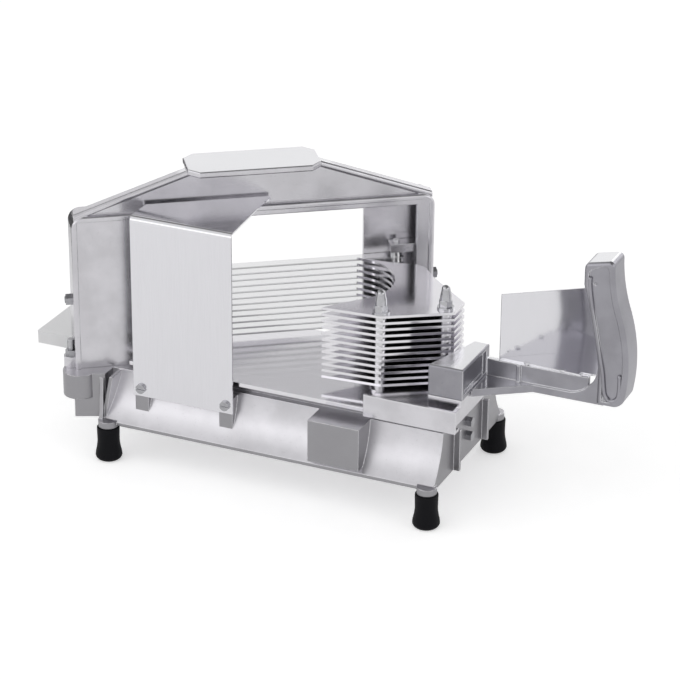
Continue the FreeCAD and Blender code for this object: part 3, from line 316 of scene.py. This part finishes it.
@dataclass(frozen=True)
class CastMetal(Finish):
    """Cast aluminium, tumbled and then buffed, with edges lighter as rubbed wear and a painted
    highlight, a painted highlight on level tops and painted shade on upright walls.

    Attributes:
        mottle: how far the colour varies.
        grain: the depth of the cast skin in metres.
        edge_radius: how far an edge reaches in metres, both for its rounding and for its
            lighter colour, which is rubbed wear and a painted highlight.
        streaks: how far buffing varies the roughness.
        painted_top_light: the colour of level tops, painted lighter as a painted highlight.
        painted_top_above: the height from which level tops get the painted highlight, in
            metres.
        painted_top_fade: the height over which the painted highlight on tops sets in, in
            metres.
        top_roughness: how rough a level top with the painted highlight is.
        painted_wall_shade: how much painted shade darkens upright walls, from 0 to 1.
        wall_shade_keeps: the share of the colour that an upright wall in painted shade keeps.
        pit_shade: the share of the colour that a pit keeps.
        wear_and_highlight: the colour of an edge, lighter as rubbed wear and as a painted
            highlight.
        least: the least roughness anywhere.
    """

    mottle: float = 0.05
    grain: float = 0.00006
    edge_radius: float = 0.0009
    streaks: float = 0.06
    painted_top_light: Colour = (0.8, 0.8, 0.82)
    painted_top_above: float = 1.0
    painted_top_fade: float = 0.002
    top_roughness: float = 0.14
    painted_wall_shade: float = 0.0
    wall_shade_keeps: float = 0.42
    pit_shade: float = 0.55
    wear_and_highlight: Colour = (0.92, 0.92, 0.94)
    least: float = 0.08

    def paint(self, graph: Graph) -> None:
        """Mottled colour, a fine cast skin, edges lighter as rubbed wear and a painted
        highlight, a painted highlight on level tops and painted shade on upright walls.

        Args:
            graph: the material's nodes.
        """
        clouds = graph.noise(scale=38.0, detail=3.0, roughness=0.55)
        skin = graph.noise(scale=2600.0, detail=2.0, roughness=0.6)
        pits = graph.noise(scale=900.0, detail=1.0, roughness=0.5).ramp(low=0.66, high=0.8)
        buffed = graph.noise(scale=60.0, detail=3.0, roughness=0.6, stretch=(1.0, 1.0, 14.0))
        edge = graph.edge_mask(self.edge_radius)
        dark = tuple(c * (1 - 2 * self.mottle) for c in self.colour)
        light = tuple(min(1.0, c * (1 + self.mottle)) for c in self.colour)
        body = graph.blend(clouds.ramp(low=0.3, high=0.7), dark, light)
        body = graph.blend(pits * 0.35, body, tuple(c * self.pit_shade for c in self.colour))
        # Level tops above a height are painted lighter and made smoother: a painted highlight.
        facing = graph.node("ShaderNodeSeparateXYZ", inputs={
            "Vector": graph.node("ShaderNodeNewGeometry", output="Normal")}, output="Z")
        level = graph.node("ShaderNodeSeparateXYZ", inputs={"Vector": graph.place()},
                           output="Z")
        top = facing.ramp(*TOP_LIMITS) * level.ramp(
            low=self.painted_top_above - self.painted_top_fade, high=self.painted_top_above)
        body = graph.blend(top, body, self.painted_top_light)
        # Upright walls are painted darker: painted shade.
        slope = graph.node("ShaderNodeMath", {"operation": "ABSOLUTE"}, {0: facing})
        wall_shade_mask = (1 - slope.ramp(*WALL_LIMITS)) * self.painted_wall_shade
        body = graph.blend(wall_shade_mask, body, tuple(c * self.wall_shade_keeps for c in self.colour))
        # Edges are painted lighter: rubbed wear and a painted highlight.
        body = graph.blend(edge * 0.75, body, self.wear_and_highlight)
        rough = self.roughness + (clouds - 0.5) * 0.1 + (buffed - 0.5) * self.streaks
        rough = rough - top * (self.roughness - self.top_roughness)
        rough = (rough - edge * 0.08).at_least(self.least)
        rounded = graph.rounded(self.edge_radius)
        height = skin * 0.6 + pits * -0.9 + buffed * 0.25
        bump = graph.node("ShaderNodeBump", None,
                          {"Strength": 0.5, "Distance": self.grain, "Height": height,
                           "Normal": rounded})
        graph.surface({"Base Color": body, "Metallic": 1.0, "Roughness": rough,
                       "Normal": bump})


@dataclass(frozen=True)
class SheetMetal(Finish):
    """Rolled or ground metal with fine straight lines along one axis.

    Attributes:
        along: the noise's scale along X, Y and Z, least along the lines.
        lines: how far the lines vary the colour.
        depth: the depth of the lines in metres.
        edge_radius: how far an edge is rubbed bright, in metres.
        smears: how far wiping varies the roughness.
        wear_and_highlight: the colour of a rubbed edge.
        least: the least roughness anywhere.
    """

    along: Sequence[float] = (1.0, 60.0, 60.0)
    lines: float = 0.05
    depth: float = 0.00001
    edge_radius: float = 0.0003
    smears: float = 0.05
    wear_and_highlight: Colour = (0.94, 0.94, 0.95)
    least: float = 0.04

    def paint(self, graph: Graph) -> None:
        """Fine lines, faint smears from wiping and bright edges.

        Args:
            graph: the material's nodes.
        """
        lines = graph.noise(scale=55.0, detail=4.0, roughness=0.7, stretch=self.along)
        smears = graph.noise(scale=16.0, detail=3.0, roughness=0.6, stretch=(1.0, 1.6, 0.8))
        edge = graph.edge_mask(self.edge_radius)
        dark = tuple(c * (1 - self.lines) for c in self.colour)
        light = tuple(min(1.0, c * (1 + self.lines)) for c in self.colour)
        body = graph.blend(lines.ramp(low=0.25, high=0.75), dark, light)
        body = graph.blend(edge * 0.7, body, self.wear_and_highlight)
        rough = (self.roughness + (lines - 0.5) * 0.08
                 + (smears - 0.5) * self.smears).at_least(self.least)
        rounded = graph.rounded(self.edge_radius)
        bump = graph.node("ShaderNodeBump", None,
                          {"Strength": 0.4, "Distance": self.depth, "Height": lines,
                           "Normal": rounded})
        graph.surface({"Base Color": body, "Metallic": 1.0, "Roughness": rough,
                       "Normal": bump})


@dataclass(frozen=True)
class TurnedMetal(Finish):
    """Small bright hardware with turning marks round it.

    Attributes:
        marks: the depth of the turning marks in metres.
        edge_radius: how far an edge is rubbed bright, in metres.
        grime_shade: the share of the colour that grime leaves.
        wear_and_highlight: the colour of a rubbed edge.
        least: the least roughness anywhere.
    """

    marks: float = 0.000008
    edge_radius: float = 0.0003
    grime_shade: float = 0.72
    wear_and_highlight: Colour = (0.93, 0.93, 0.94)
    least: float = 0.05

    def paint(self, graph: Graph) -> None:
        """Rings from turning, a little grime and bright corners.

        Args:
            graph: the material's nodes.
        """
        rings = graph.noise(scale=420.0, detail=2.0, roughness=0.6, stretch=(0.25, 0.25, 6.0))
        grime = graph.noise(scale=240.0, detail=2.0, roughness=0.5)
        edge = graph.edge_mask(self.edge_radius)
        body = graph.blend(grime.ramp(low=0.35, high=0.75) * 0.3, self.colour,
                           tuple(c * self.grime_shade for c in self.colour))
        body = graph.blend(edge * 0.6, body, self.wear_and_highlight)
        rough = self.roughness + (rings - 0.5) * 0.12 + (grime - 0.5) * 0.08
        bump = graph.node("ShaderNodeBump", None,
                          {"Strength": 0.5, "Distance": self.marks, "Height": rings})
        graph.surface({"Base Color": body, "Metallic": 1.0,
                       "Roughness": rough.at_least(self.least), "Normal": bump})


@dataclass(frozen=True)
class Plastic(Finish):
    """Moulded or sawn plastic or rubber with a fine skin.

    Attributes:
        shade: how far the colour darkens in places.
        skin_depth: the depth of the skin in metres.
        scuffs: how strong the knife or rubbing marks are.
        scuff_shade: the share of the colour that a mark keeps.
        gloss: the strength of its plain reflections.
    """

    shade: float = 0.06
    skin_depth: float = 0.00005
    scuffs: float = 0.0
    scuff_shade: float = 0.8
    gloss: float = 0.5

    def paint(self, graph: Graph) -> None:
        """A fine skin, soft shading and faint knife or rubbing marks.

        Args:
            graph: the material's nodes.
        """
        skin = graph.noise(scale=1400.0, detail=2.0, roughness=0.6)
        clouds = graph.noise(scale=30.0, detail=2.0, roughness=0.5)
        marks = graph.noise(scale=90.0, detail=3.0, roughness=0.7,
                            stretch=(0.35, 5.0, 1.0)).ramp(low=0.6, high=0.72)
        dark = tuple(c * (1 - self.shade) for c in self.colour)
        body = graph.blend(clouds.ramp(low=0.3, high=0.7), dark, self.colour)
        body = graph.blend(marks * self.scuffs, body,
                           tuple(c * self.scuff_shade for c in self.colour))
        rough = self.roughness + (clouds - 0.5) * 0.12 + marks * self.scuffs * 0.2
        height = skin - marks * self.scuffs * 2
        bump = graph.node("ShaderNodeBump", None,
                          {"Strength": 0.5, "Distance": self.skin_depth, "Height": height})
        graph.surface({"Base Color": body, "Metallic": 0.0, "Roughness": rough,
                       "Specular IOR Level": self.gloss, "Normal": bump})


FINISHES: dict[Slot, Finish] = {
    # The casting's level tops above 0.212 m, the palm pad, get a painted highlight.
    Slot.CASTING: CastMetal("buffed_casting", (0.64, 0.63, 0.66), 0.24, painted_top_above=0.212),
    # The grip casting's level tops above 0.05 m get a painted highlight.
    Slot.GRIP_CASTING: CastMetal("satin_casting", (0.34, 0.335, 0.365), 0.3, mottle=0.06,
                                 # The grip's edges reach further, lighter as rubbed wear and a
                                 # painted highlight.
                                 painted_top_above=0.05, edge_radius=0.0014),
    Slot.POLISHED_PLATE: SheetMetal("polished_plate", (0.78, 0.77, 0.8), 0.13),
    Slot.BLADE_STEEL: SheetMetal("ground_blade", (0.86, 0.86, 0.87), 0.2,
                                 along=(0.6, 40.0, 40.0), lines=0.04),
    Slot.STEEL: TurnedMetal("turned_steel", (0.7, 0.7, 0.71), 0.24),
    Slot.GUARD_SHEET: SheetMetal("guard_sheet", (0.76, 0.755, 0.785), 0.14,
                                 along=(60.0, 60.0, 0.8), lines=0.03, smears=0.08),
    Slot.FASTENER: TurnedMetal("plated_fastener", (0.74, 0.74, 0.76), 0.18),
    Slot.BOARD: Plastic("white_board", (0.93, 0.93, 0.94), 0.45, shade=0.03, scuffs=0.35),
    Slot.NYLON: Plastic("nylon_button", (0.82, 0.82, 0.78), 0.4),
    Slot.RUBBER: Plastic("black_rubber", (0.006, 0.006, 0.008), 0.55, shade=0.2,
                         skin_depth=0.00012, gloss=0.12),
}

# Nodes whose look differs from the rest of their slot.
OWN_FINISHES: dict[str, Finish] = {
    "guard_screws": TurnedMetal("slotted_screw", (0.42, 0.42, 0.44), 0.26),
    "tension_bolts": TurnedMetal("dull_bolt", (0.4, 0.4, 0.42), 0.3),
    "arch_bolts": TurnedMetal("dull_bolt", (0.4, 0.4, 0.42), 0.3),
    "cap_nuts": TurnedMetal("cap_nut_plate", (0.5, 0.5, 0.52), 0.12),
    "post_washers": TurnedMetal("cap_nut_plate", (0.5, 0.5, 0.52), 0.12),
    "end_bolts": TurnedMetal("dull_bolt", (0.4, 0.4, 0.42), 0.3),
    # The base's upright walls get painted shade.
    "base_casting": CastMetal("base_skin_wall_shade", (0.65, 0.64, 0.67), 0.34, painted_wall_shade=0.8),
    "carriage": CastMetal("carriage_skin", (0.68, 0.67, 0.7), 0.2),
}


class Finishes:
    """Materials made once and handed to every piece that uses them."""

    def __init__(self) -> None:
        """Start with none made."""
        self.made: dict[str, bpy.types.Material] = {}

    def of(self, slot: Slot, node: str = "") -> bpy.types.Material:
        """The material of a slot or of one node, made at its first use.

        Args:
            slot: the record's slot.
            node: the CAD node that wears it, if it is one.

        Returns:
            Its material.
        """
        finish = OWN_FINISHES.get(node, FINISHES[slot])
        if finish.name not in self.made:
            self.made[finish.name] = finish.make()
        return self.made[finish.name]


# ---- pieces ----------------------------------------------------------------------------


@dataclass
class SubAssembly:
    """A group of CAD nodes on one body, with the fittings added to it."""

    finishes: Finishes
    body: Body = Body.BASE
    nodes: dict[str, Slot] = field(default_factory=dict)

    def dress_nodes(self) -> None:
        """Give each CAD node of this group its finish, where it stands."""
        for name, slot in self.nodes.items():
            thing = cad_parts[name]
            thing.data.materials.clear()
            thing.data.materials.append(self.finishes.of(slot, name))
            log.info("%s is dressed as %s", name, slot.value)

    def add(self, name: str, mesh: bmesh.types.BMesh, slot: Slot) -> None:
        """Turn a mesh into a smooth piece that rides on this group's body.

        Args:
            name: the piece's name.
            mesh: its mesh in the frame of the CAD nodes, which is freed here.
            slot: its finish.
        """
        bmesh.ops.recalc_face_normals(mesh, faces=mesh.faces)
        for face in mesh.faces:
            face.smooth = True
        data = bpy.data.meshes.new(name)
        mesh.to_mesh(data)
        mesh.free()
        data.materials.append(self.finishes.of(slot))
        piece = bpy.data.objects.new(name, data)
        bpy.context.scene.collection.objects.link(piece)
        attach(piece, self.body.value)
        log.info("%s is made of %s", name, slot.value)

    def build(self) -> None:
        """Dress the nodes and add what else this group has."""
        self.dress_nodes()


def numbered(stem: str, count: int, slot: Slot) -> dict[str, Slot]:
    """Nodes numbered from 01 with one finish.

    Args:
        stem: the name before the number.
        count: how many.
        slot: their finish.

    Returns:
        Each name with its finish.
    """
    return {f"{stem}_{number:02d}": slot for number in range(1, count + 1)}


@dataclass
class Base(SubAssembly):
    """The casting on its feet, with the deck and the cutting board."""

    nodes: dict[str, Slot] = field(default_factory=lambda: {
        "base_casting": Slot.CASTING, "deck_plate": Slot.POLISHED_PLATE,
        "deck_screws": Slot.FASTENER, "board_screws": Slot.FASTENER,
        "end_bolts": Slot.FASTENER, "cutting_board": Slot.BOARD,
        "foot_front_left": Slot.RUBBER, "foot_front_right": Slot.RUBBER,
        "foot_back_left": Slot.RUBBER, "foot_back_right": Slot.RUBBER})


@dataclass
class Arch(SubAssembly):
    """The cast arch and the blades strung inside it."""

    blade_count: int = 12
    nodes: dict[str, Slot] = field(default_factory=lambda: {
        "arch_frame": Slot.CASTING, "arch_bolts": Slot.FASTENER,
        "blade_holder_left": Slot.CASTING, "blade_holder_right": Slot.CASTING,
        "blade_pins": Slot.STEEL, "blade_spacers": Slot.STEEL,
        "tension_bolts": Slot.FASTENER})

    thread_length: float = 6.4 * MM
    thread_pitch: float = 0.8 * MM
    thread_crest: float = 0.28 * MM

    def build(self) -> None:
        """Dress the arch and its blades, and add the threads of its two bolts."""
        self.nodes.update(numbered("blade", self.blade_count, Slot.BLADE_STEEL))
        self.dress_nodes()
        ridge = thread(upright_ends("arch_bolts"), self.thread_length, self.thread_pitch,
                       self.thread_crest)
        self.add("arch_bolt_threads", ridge, Slot.FASTENER)


@dataclass
class FrontGuard(SubAssembly):
    """The bent sheet in front of the blades."""

    nodes: dict[str, Slot] = field(default_factory=lambda: {
        "front_guard": Slot.GUARD_SHEET, "guard_screws": Slot.FASTENER})


@dataclass
class Pusher(SubAssembly):
    """The carriage with its stack of plates on two posts."""

    plate_count: int = 12
    body: Body = Body.PUSHER
    nodes: dict[str, Slot] = field(default_factory=lambda: {
        "carriage": Slot.CASTING, "slide_pads": Slot.NYLON, "pusher_posts": Slot.STEEL,
        "post_spacers": Slot.STEEL, "post_washers": Slot.FASTENER,
        "cap_nuts": Slot.FASTENER})

    def build(self) -> None:
        """Dress the carriage and its plates."""
        self.nodes.update(numbered("pusher_plate", self.plate_count, Slot.POLISHED_PLATE))
        self.dress_nodes()


def upright_ends(node: str) -> list[tuple[Vector, float]]:
    """The axis and top of each upright bolt in a node that holds two of them.

    Args:
        node: the CAD node's name.

    Returns:
        A point on each bolt's axis at its top, and the radius of its top face.
    """
    corners = [vertex.co.copy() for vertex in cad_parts[node].data.vertices]
    middle = (min(c.x for c in corners) + max(c.x for c in corners)) / 2
    ends = []
    for left in (True, False):
        own = [c for c in corners if (c.x < middle) == left]
        top = max(c.z for c in own)
        rim = [c for c in own if c.z > top - RIM_TOLERANCE]
        low_x, high_x = min(c.x for c in rim), max(c.x for c in rim)
        low_y, high_y = min(c.y for c in rim), max(c.y for c in rim)
        ends.append((Vector(((low_x + high_x) / 2, (low_y + high_y) / 2, top)),
                     (high_x - low_x) / 2))
    return ends


def thread(ends: Sequence[tuple[Vector, float]], length: float, pitch: float,
           crest: float, sides: int = 28) -> bmesh.types.BMesh:
    """The ridge of a right-hand thread below the top of each bolt.

    Args:
        ends: the top and radius of each bolt.
        length: how far down the thread is seen.
        pitch: its rise in one turn.
        crest: how far it stands off the bolt.
        sides: how many steps make one turn.

    Returns:
        The mesh.
    """
    mesh = bmesh.new()
    steps = int(sides * length / pitch)
    for top, radius in ends:
        before = None
        for step in range(steps + 1):
            turn = math.tau * step / sides
            fade = min(1.0, step / sides, (steps - step) / sides)
            level = top.z - length + pitch * (step / sides - THREAD_SET_BACK)
            way = Vector((math.cos(turn), math.sin(turn), 0.0))
            row = [mesh.verts.new((top.x + way.x * reach, top.y + way.y * reach, height))
                   for reach, height in (
                       (radius * THREAD_FOOT, level - THREAD_BELOW * pitch),
                       (radius + crest * fade, level),
                       (radius * THREAD_FOOT, level + THREAD_ABOVE * pitch))]
            if before:
                for one, two in ((0, 1), (1, 2), (2, 0)):
                    mesh.faces.new((before[one], before[two], row[two], row[one]))
            else:
                mesh.faces.new(row)
            before = row
        mesh.faces.new(before)
    return mesh


def tube(path: Sequence[Vector], radius: float, sides: int = 10,
         tip: float = 0.4) -> bmesh.types.BMesh:
    """A closed round tube along points that lie in a plane of constant Y.

    Args:
        path: its centre line.
        radius: its radius in metres.
        sides: how many faces go round it.
        tip: the share of the radius left at its two ends.

    Returns:
        The mesh.
    """
    mesh = bmesh.new()
    across = Vector((0.0, 1.0, 0.0))
    rings = []
    for number, point in enumerate(path):
        before = path[max(number - 1, 0)]
        after = path[min(number + 1, len(path) - 1)]
        along = (after - before).normalized()
        side = along.cross(across).normalized()
        reach = radius * (tip if number in (0, len(path) - 1) else 1.0)
        ring = []
        for step in range(sides):
            turn = math.tau * step / sides
            ring.append(mesh.verts.new(point + side * math.cos(turn) * reach
                                       + across * math.sin(turn) * reach))
        rings.append(ring)
    for first, second in zip(rings, rings[1:]):
        for step in range(sides):
            mesh.faces.new((first[step], first[(step + 1) % sides],
                            second[(step + 1) % sides], second[step]))
    mesh.faces.new(rings[0])
    mesh.faces.new(rings[-1])
    return mesh


@dataclass
class Handle(SubAssembly):
    """The block, arm and grip, and the hand guard on the arm."""

    body: Body = Body.PUSHER
    nodes: dict[str, Slot] = field(default_factory=lambda: {
        "handle_casting": Slot.GRIP_CASTING, "handle_bolts": Slot.FASTENER,
        "hand_guard": Slot.GUARD_SHEET, "hand_guard_screws": Slot.FASTENER})
    bead_radius: float = 1.5 * MM
    bead_depth: float = 44.1 * MM
    bead_run: Sequence[tuple[float, float]] = (
        (-30.1, -13.0), (-30.1, -20.0), (-27.9, -34.5), (-25.1, -49.5), (-21.9, -64.5),
        (-18.3, -82.0), (-17.2, -91.0), (-16.4, -97.0), (-15.0, -100.8), (-12.2, -102.9),
        (-9.2, -102.6), (-6.9, -100.4), (-5.9, -97.0), (-5.6, -90.0), (-5.9, -82.0))
    bead_steps: int = 5

    def bead_path(self) -> list[Vector]:
        """The bead's centre line on the grip's panel, rounded through its points.

        Returns:
            The line's points.
        """
        low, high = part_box("handle_casting")
        knots = [Vector((high[0] + x * MM, low[1] + self.bead_depth, high[2] + z * MM))
                 for x, z in self.bead_run]
        knots = [knots[0], *knots, knots[-1]]
        path = []
        for a, b, c, d in zip(knots, knots[1:], knots[2:], knots[3:]):
            for step in range(self.bead_steps):
                t = step / self.bead_steps
                path.append(0.5 * (2 * b + (c - a) * t + (2 * a - 5 * b + 4 * c - d) * t ** 2
                                   + (3 * b - a - 3 * c + d) * t ** 3))
        return path + [knots[-1]]

    def build(self) -> None:
        """Dress the handle and lay the raised bead on the grip's panel."""
        self.dress_nodes()
        self.add("grip_bead", tube(self.bead_path(), self.bead_radius), Slot.GRIP_CASTING)


# ---- studio ----------------------------------------------------------------------------


@dataclass(frozen=True)
class Lamp:
    """A soft rectangular lamp that points at the slicer."""

    name: str
    place: Point
    size: tuple[float, float]
    watts: float
    aim: Point = (0.0, 0.0, 0.1)

    def light(self) -> None:
        """Hang the lamp."""
        data = bpy.data.lights.new(self.name, "AREA")
        data.shape = "RECTANGLE"
        data.size, data.size_y = self.size
        data.energy = self.watts
        lamp = bpy.data.objects.new(self.name, data)
        lamp.location = self.place
        way = Vector(self.aim) - Vector(self.place)
        lamp.rotation_euler = way.to_track_quat("-Z", "Y").to_euler()
        bpy.context.scene.collection.objects.link(lamp)


@dataclass(frozen=True)
class Flag:
    """A dark card that only reflections see, to draw the edges of bright metal."""

    name: str
    corners: tuple[Point, Point, Point, Point]
    shade: float = 0.14

    def hang(self) -> None:
        """Hang the card out of sight of the camera and of all soft light."""
        mesh = bmesh.new()
        mesh.faces.new([mesh.verts.new(corner) for corner in self.corners])
        data = bpy.data.meshes.new(self.name)
        mesh.to_mesh(data)
        mesh.free()
        material = bpy.data.materials.new(self.name)
        material.use_nodes = True
        graph = Graph(material.node_tree)
        dark = graph.node("ShaderNodeBsdfDiffuse",
                          inputs={"Color": (self.shade, self.shade, self.shade, 1.0)})
        graph.node("ShaderNodeOutputMaterial", inputs={"Surface": dark})
        data.materials.append(material)
        card = bpy.data.objects.new(self.name, data)
        card.visible_camera = False
        card.visible_diffuse = False
        card.visible_shadow = False
        bpy.context.scene.collection.objects.link(card)


@dataclass
class Studio:
    """A pale floor, soft lamps, dark cards, a white surround and the camera.

    Attributes:
        camera_place: where the camera stands, in metres.
        pan: its turn about Z, in radians.
        tilt: how far it looks down, in radians.
        roll: its turn about its own line of sight, in radians.
        lens: its focal length in millimetres.
        sensor: the width of its sensor in millimetres.
        floor_half: half the floor's side, in metres.
        floor_tones: the floor's darker and lighter colour.
        floor_glow: how much the floor glows to the camera and to reflections.
        floor_lift: how much more it glows to the camera alone.
        fill: the strength of the surround as a light.
        overhead: its strength overhead, as reflections see it.
        overhead_limits: the heights of a ray between which it falls to that.
        lamps: the lamps.
        flags: the dark cards.
    """

    camera_place: Point = (0.74024, -1.68488, 0.93084)
    pan: float = 0.41549
    tilt: float = 0.42993
    roll: float = 0.008253
    lens: float = 148.235
    sensor: float = 36.0
    floor_half: float = 6.0
    floor_tones: tuple[Colour, Colour] = ((0.84, 0.84, 0.84), (0.86, 0.86, 0.86))
    floor_glow: float = 0.3
    floor_lift: float = 0.18
    fill: float = 0.5
    overhead: float = 0.22
    overhead_limits: tuple[float, float] = (0.34, 0.78)
    lamps: Sequence[Lamp] = (
        Lamp("key", (-0.95, -1.35, 1.75), (3.2, 2.8), 17.0),
        Lamp("side", (2.3, -0.3, 1.3), (1.4, 1.4), 5.0),
        Lamp("back", (0.6, 2.6, 1.1), (2.2, 1.0), 7.0),
    )
    flags: Sequence[Flag] = (
        Flag("flag_left", ((-0.7, -0.2, 0.0), (-0.7, 0.6, 0.0),
                           (-0.7, 0.6, 0.3), (-0.7, -0.2, 0.3))),
        Flag("flag_left_floor", ((-1.2, -0.1, 0.002), (-0.5, -0.1, 0.002),
                                 (-0.5, 0.6, 0.002), (-1.2, 0.6, 0.002))),
    )

    def make_camera(self) -> None:
        """Stand the camera at the fitted place and direction."""
        right = Vector((math.cos(self.pan), math.sin(self.pan), 0.0))
        level = Vector((-math.sin(self.pan), math.cos(self.pan), 0.0))
        up_axis = Vector((0.0, 0.0, 1.0))
        ahead = level * math.cos(self.tilt) - up_axis * math.sin(self.tilt)
        up = level * math.sin(self.tilt) + up_axis * math.cos(self.tilt)
        side = right * math.cos(self.roll) + up * math.sin(self.roll)
        top = up * math.cos(self.roll) - right * math.sin(self.roll)
        turned = Matrix((side, top, -ahead)).transposed().to_4x4()
        data = bpy.data.cameras.new("camera")
        data.lens = self.lens
        data.sensor_width = self.sensor
        data.clip_end = 20.0
        camera = bpy.data.objects.new("camera", data)
        camera.matrix_world = Matrix.Translation(self.camera_place) @ turned
        bpy.context.scene.collection.objects.link(camera)
        bpy.context.scene.camera = camera

    def make_floor(self) -> None:
        """Lay the floor, which glows only to the camera and in reflections."""
        mesh = bmesh.new()
        bmesh.ops.create_grid(mesh, x_segments=8, y_segments=8, size=self.floor_half)
        data = bpy.data.meshes.new("floor")
        mesh.to_mesh(data)
        mesh.free()
        material = bpy.data.materials.new("pale_floor")
        material.use_nodes = True
        graph = Graph(material.node_tree)
        seen = self.background_rays(graph)
        camera = graph.node("ShaderNodeLightPath", output="Is Camera Ray")
        grain = graph.noise(scale=40.0)
        tone = graph.blend(grain.ramp(low=0.3, high=0.7), *self.floor_tones)
        matt = graph.node("ShaderNodeBsdfDiffuse", inputs={"Color": tone})
        glow = graph.node("ShaderNodeEmission",
                          inputs={"Color": (1.0, 1.0, 1.0, 1.0),
                                  "Strength": seen * self.floor_glow
                                  + camera * self.floor_lift})
        both = graph.node("ShaderNodeAddShader", inputs={0: matt, 1: glow})
        graph.node("ShaderNodeOutputMaterial", inputs={"Surface": both})
        data.materials.append(material)
        floor = bpy.data.objects.new("floor", data)
        bpy.context.scene.collection.objects.link(floor)

    @staticmethod
    def background_rays(graph: Graph) -> Sock:
        """1 for what the camera sees straight, in a reflection or through glass.

        Args:
            graph: the nodes to add it to.

        Returns:
            The mask.
        """
        camera = graph.node("ShaderNodeLightPath", output="Is Camera Ray")
        glossy = graph.node("ShaderNodeLightPath", output="Is Glossy Ray")
        through = graph.node("ShaderNodeLightPath", output="Is Transmission Ray")
        return (camera + glossy + through).at_most(1.0)

    def make_world(self) -> None:
        """A white surround that is greyer overhead for reflections only."""
        world = bpy.data.worlds.new("surround")
        world.use_nodes = True
        bpy.context.scene.world = world
        graph = Graph(world.node_tree)
        seen = self.background_rays(graph)
        camera = graph.node("ShaderNodeLightPath", output="Is Camera Ray")
        way = graph.node("ShaderNodeTexCoord", output="Generated")
        height = graph.node("ShaderNodeSeparateXYZ", inputs={"Vector": way}, output="Z")
        sky = height.ramp(*self.overhead_limits, start=1.0, end=self.overhead)
        mirror = (sky + camera).at_most(1.0)
        strength = seen * mirror + (1 - seen) * self.fill
        light = graph.node("ShaderNodeBackground",
                           inputs={"Color": (1.0, 1.0, 1.0, 1.0), "Strength": strength})
        graph.node("ShaderNodeOutputWorld", inputs={"Surface": light})

    def build(self) -> None:
        """Set up the floor, the surround, the lamps, the cards and the camera."""
        self.make_floor()
        self.make_world()
        for lamp in self.lamps:
            lamp.light()
        for flag in self.flags:
            flag.hang()
        self.make_camera()
        bpy.context.scene.view_settings.view_transform = "Standard"


def main() -> None:
    """Build the slicer's groups in order, then the studio."""
    finishes = Finishes()
    groups: Iterable[SubAssembly] = (Base(finishes), Arch(finishes), FrontGuard(finishes),
                                     Pusher(finishes), Handle(finishes))
    for group in groups:
        group.build()
    Studio().build()


if __name__ == "__main__":
    main()
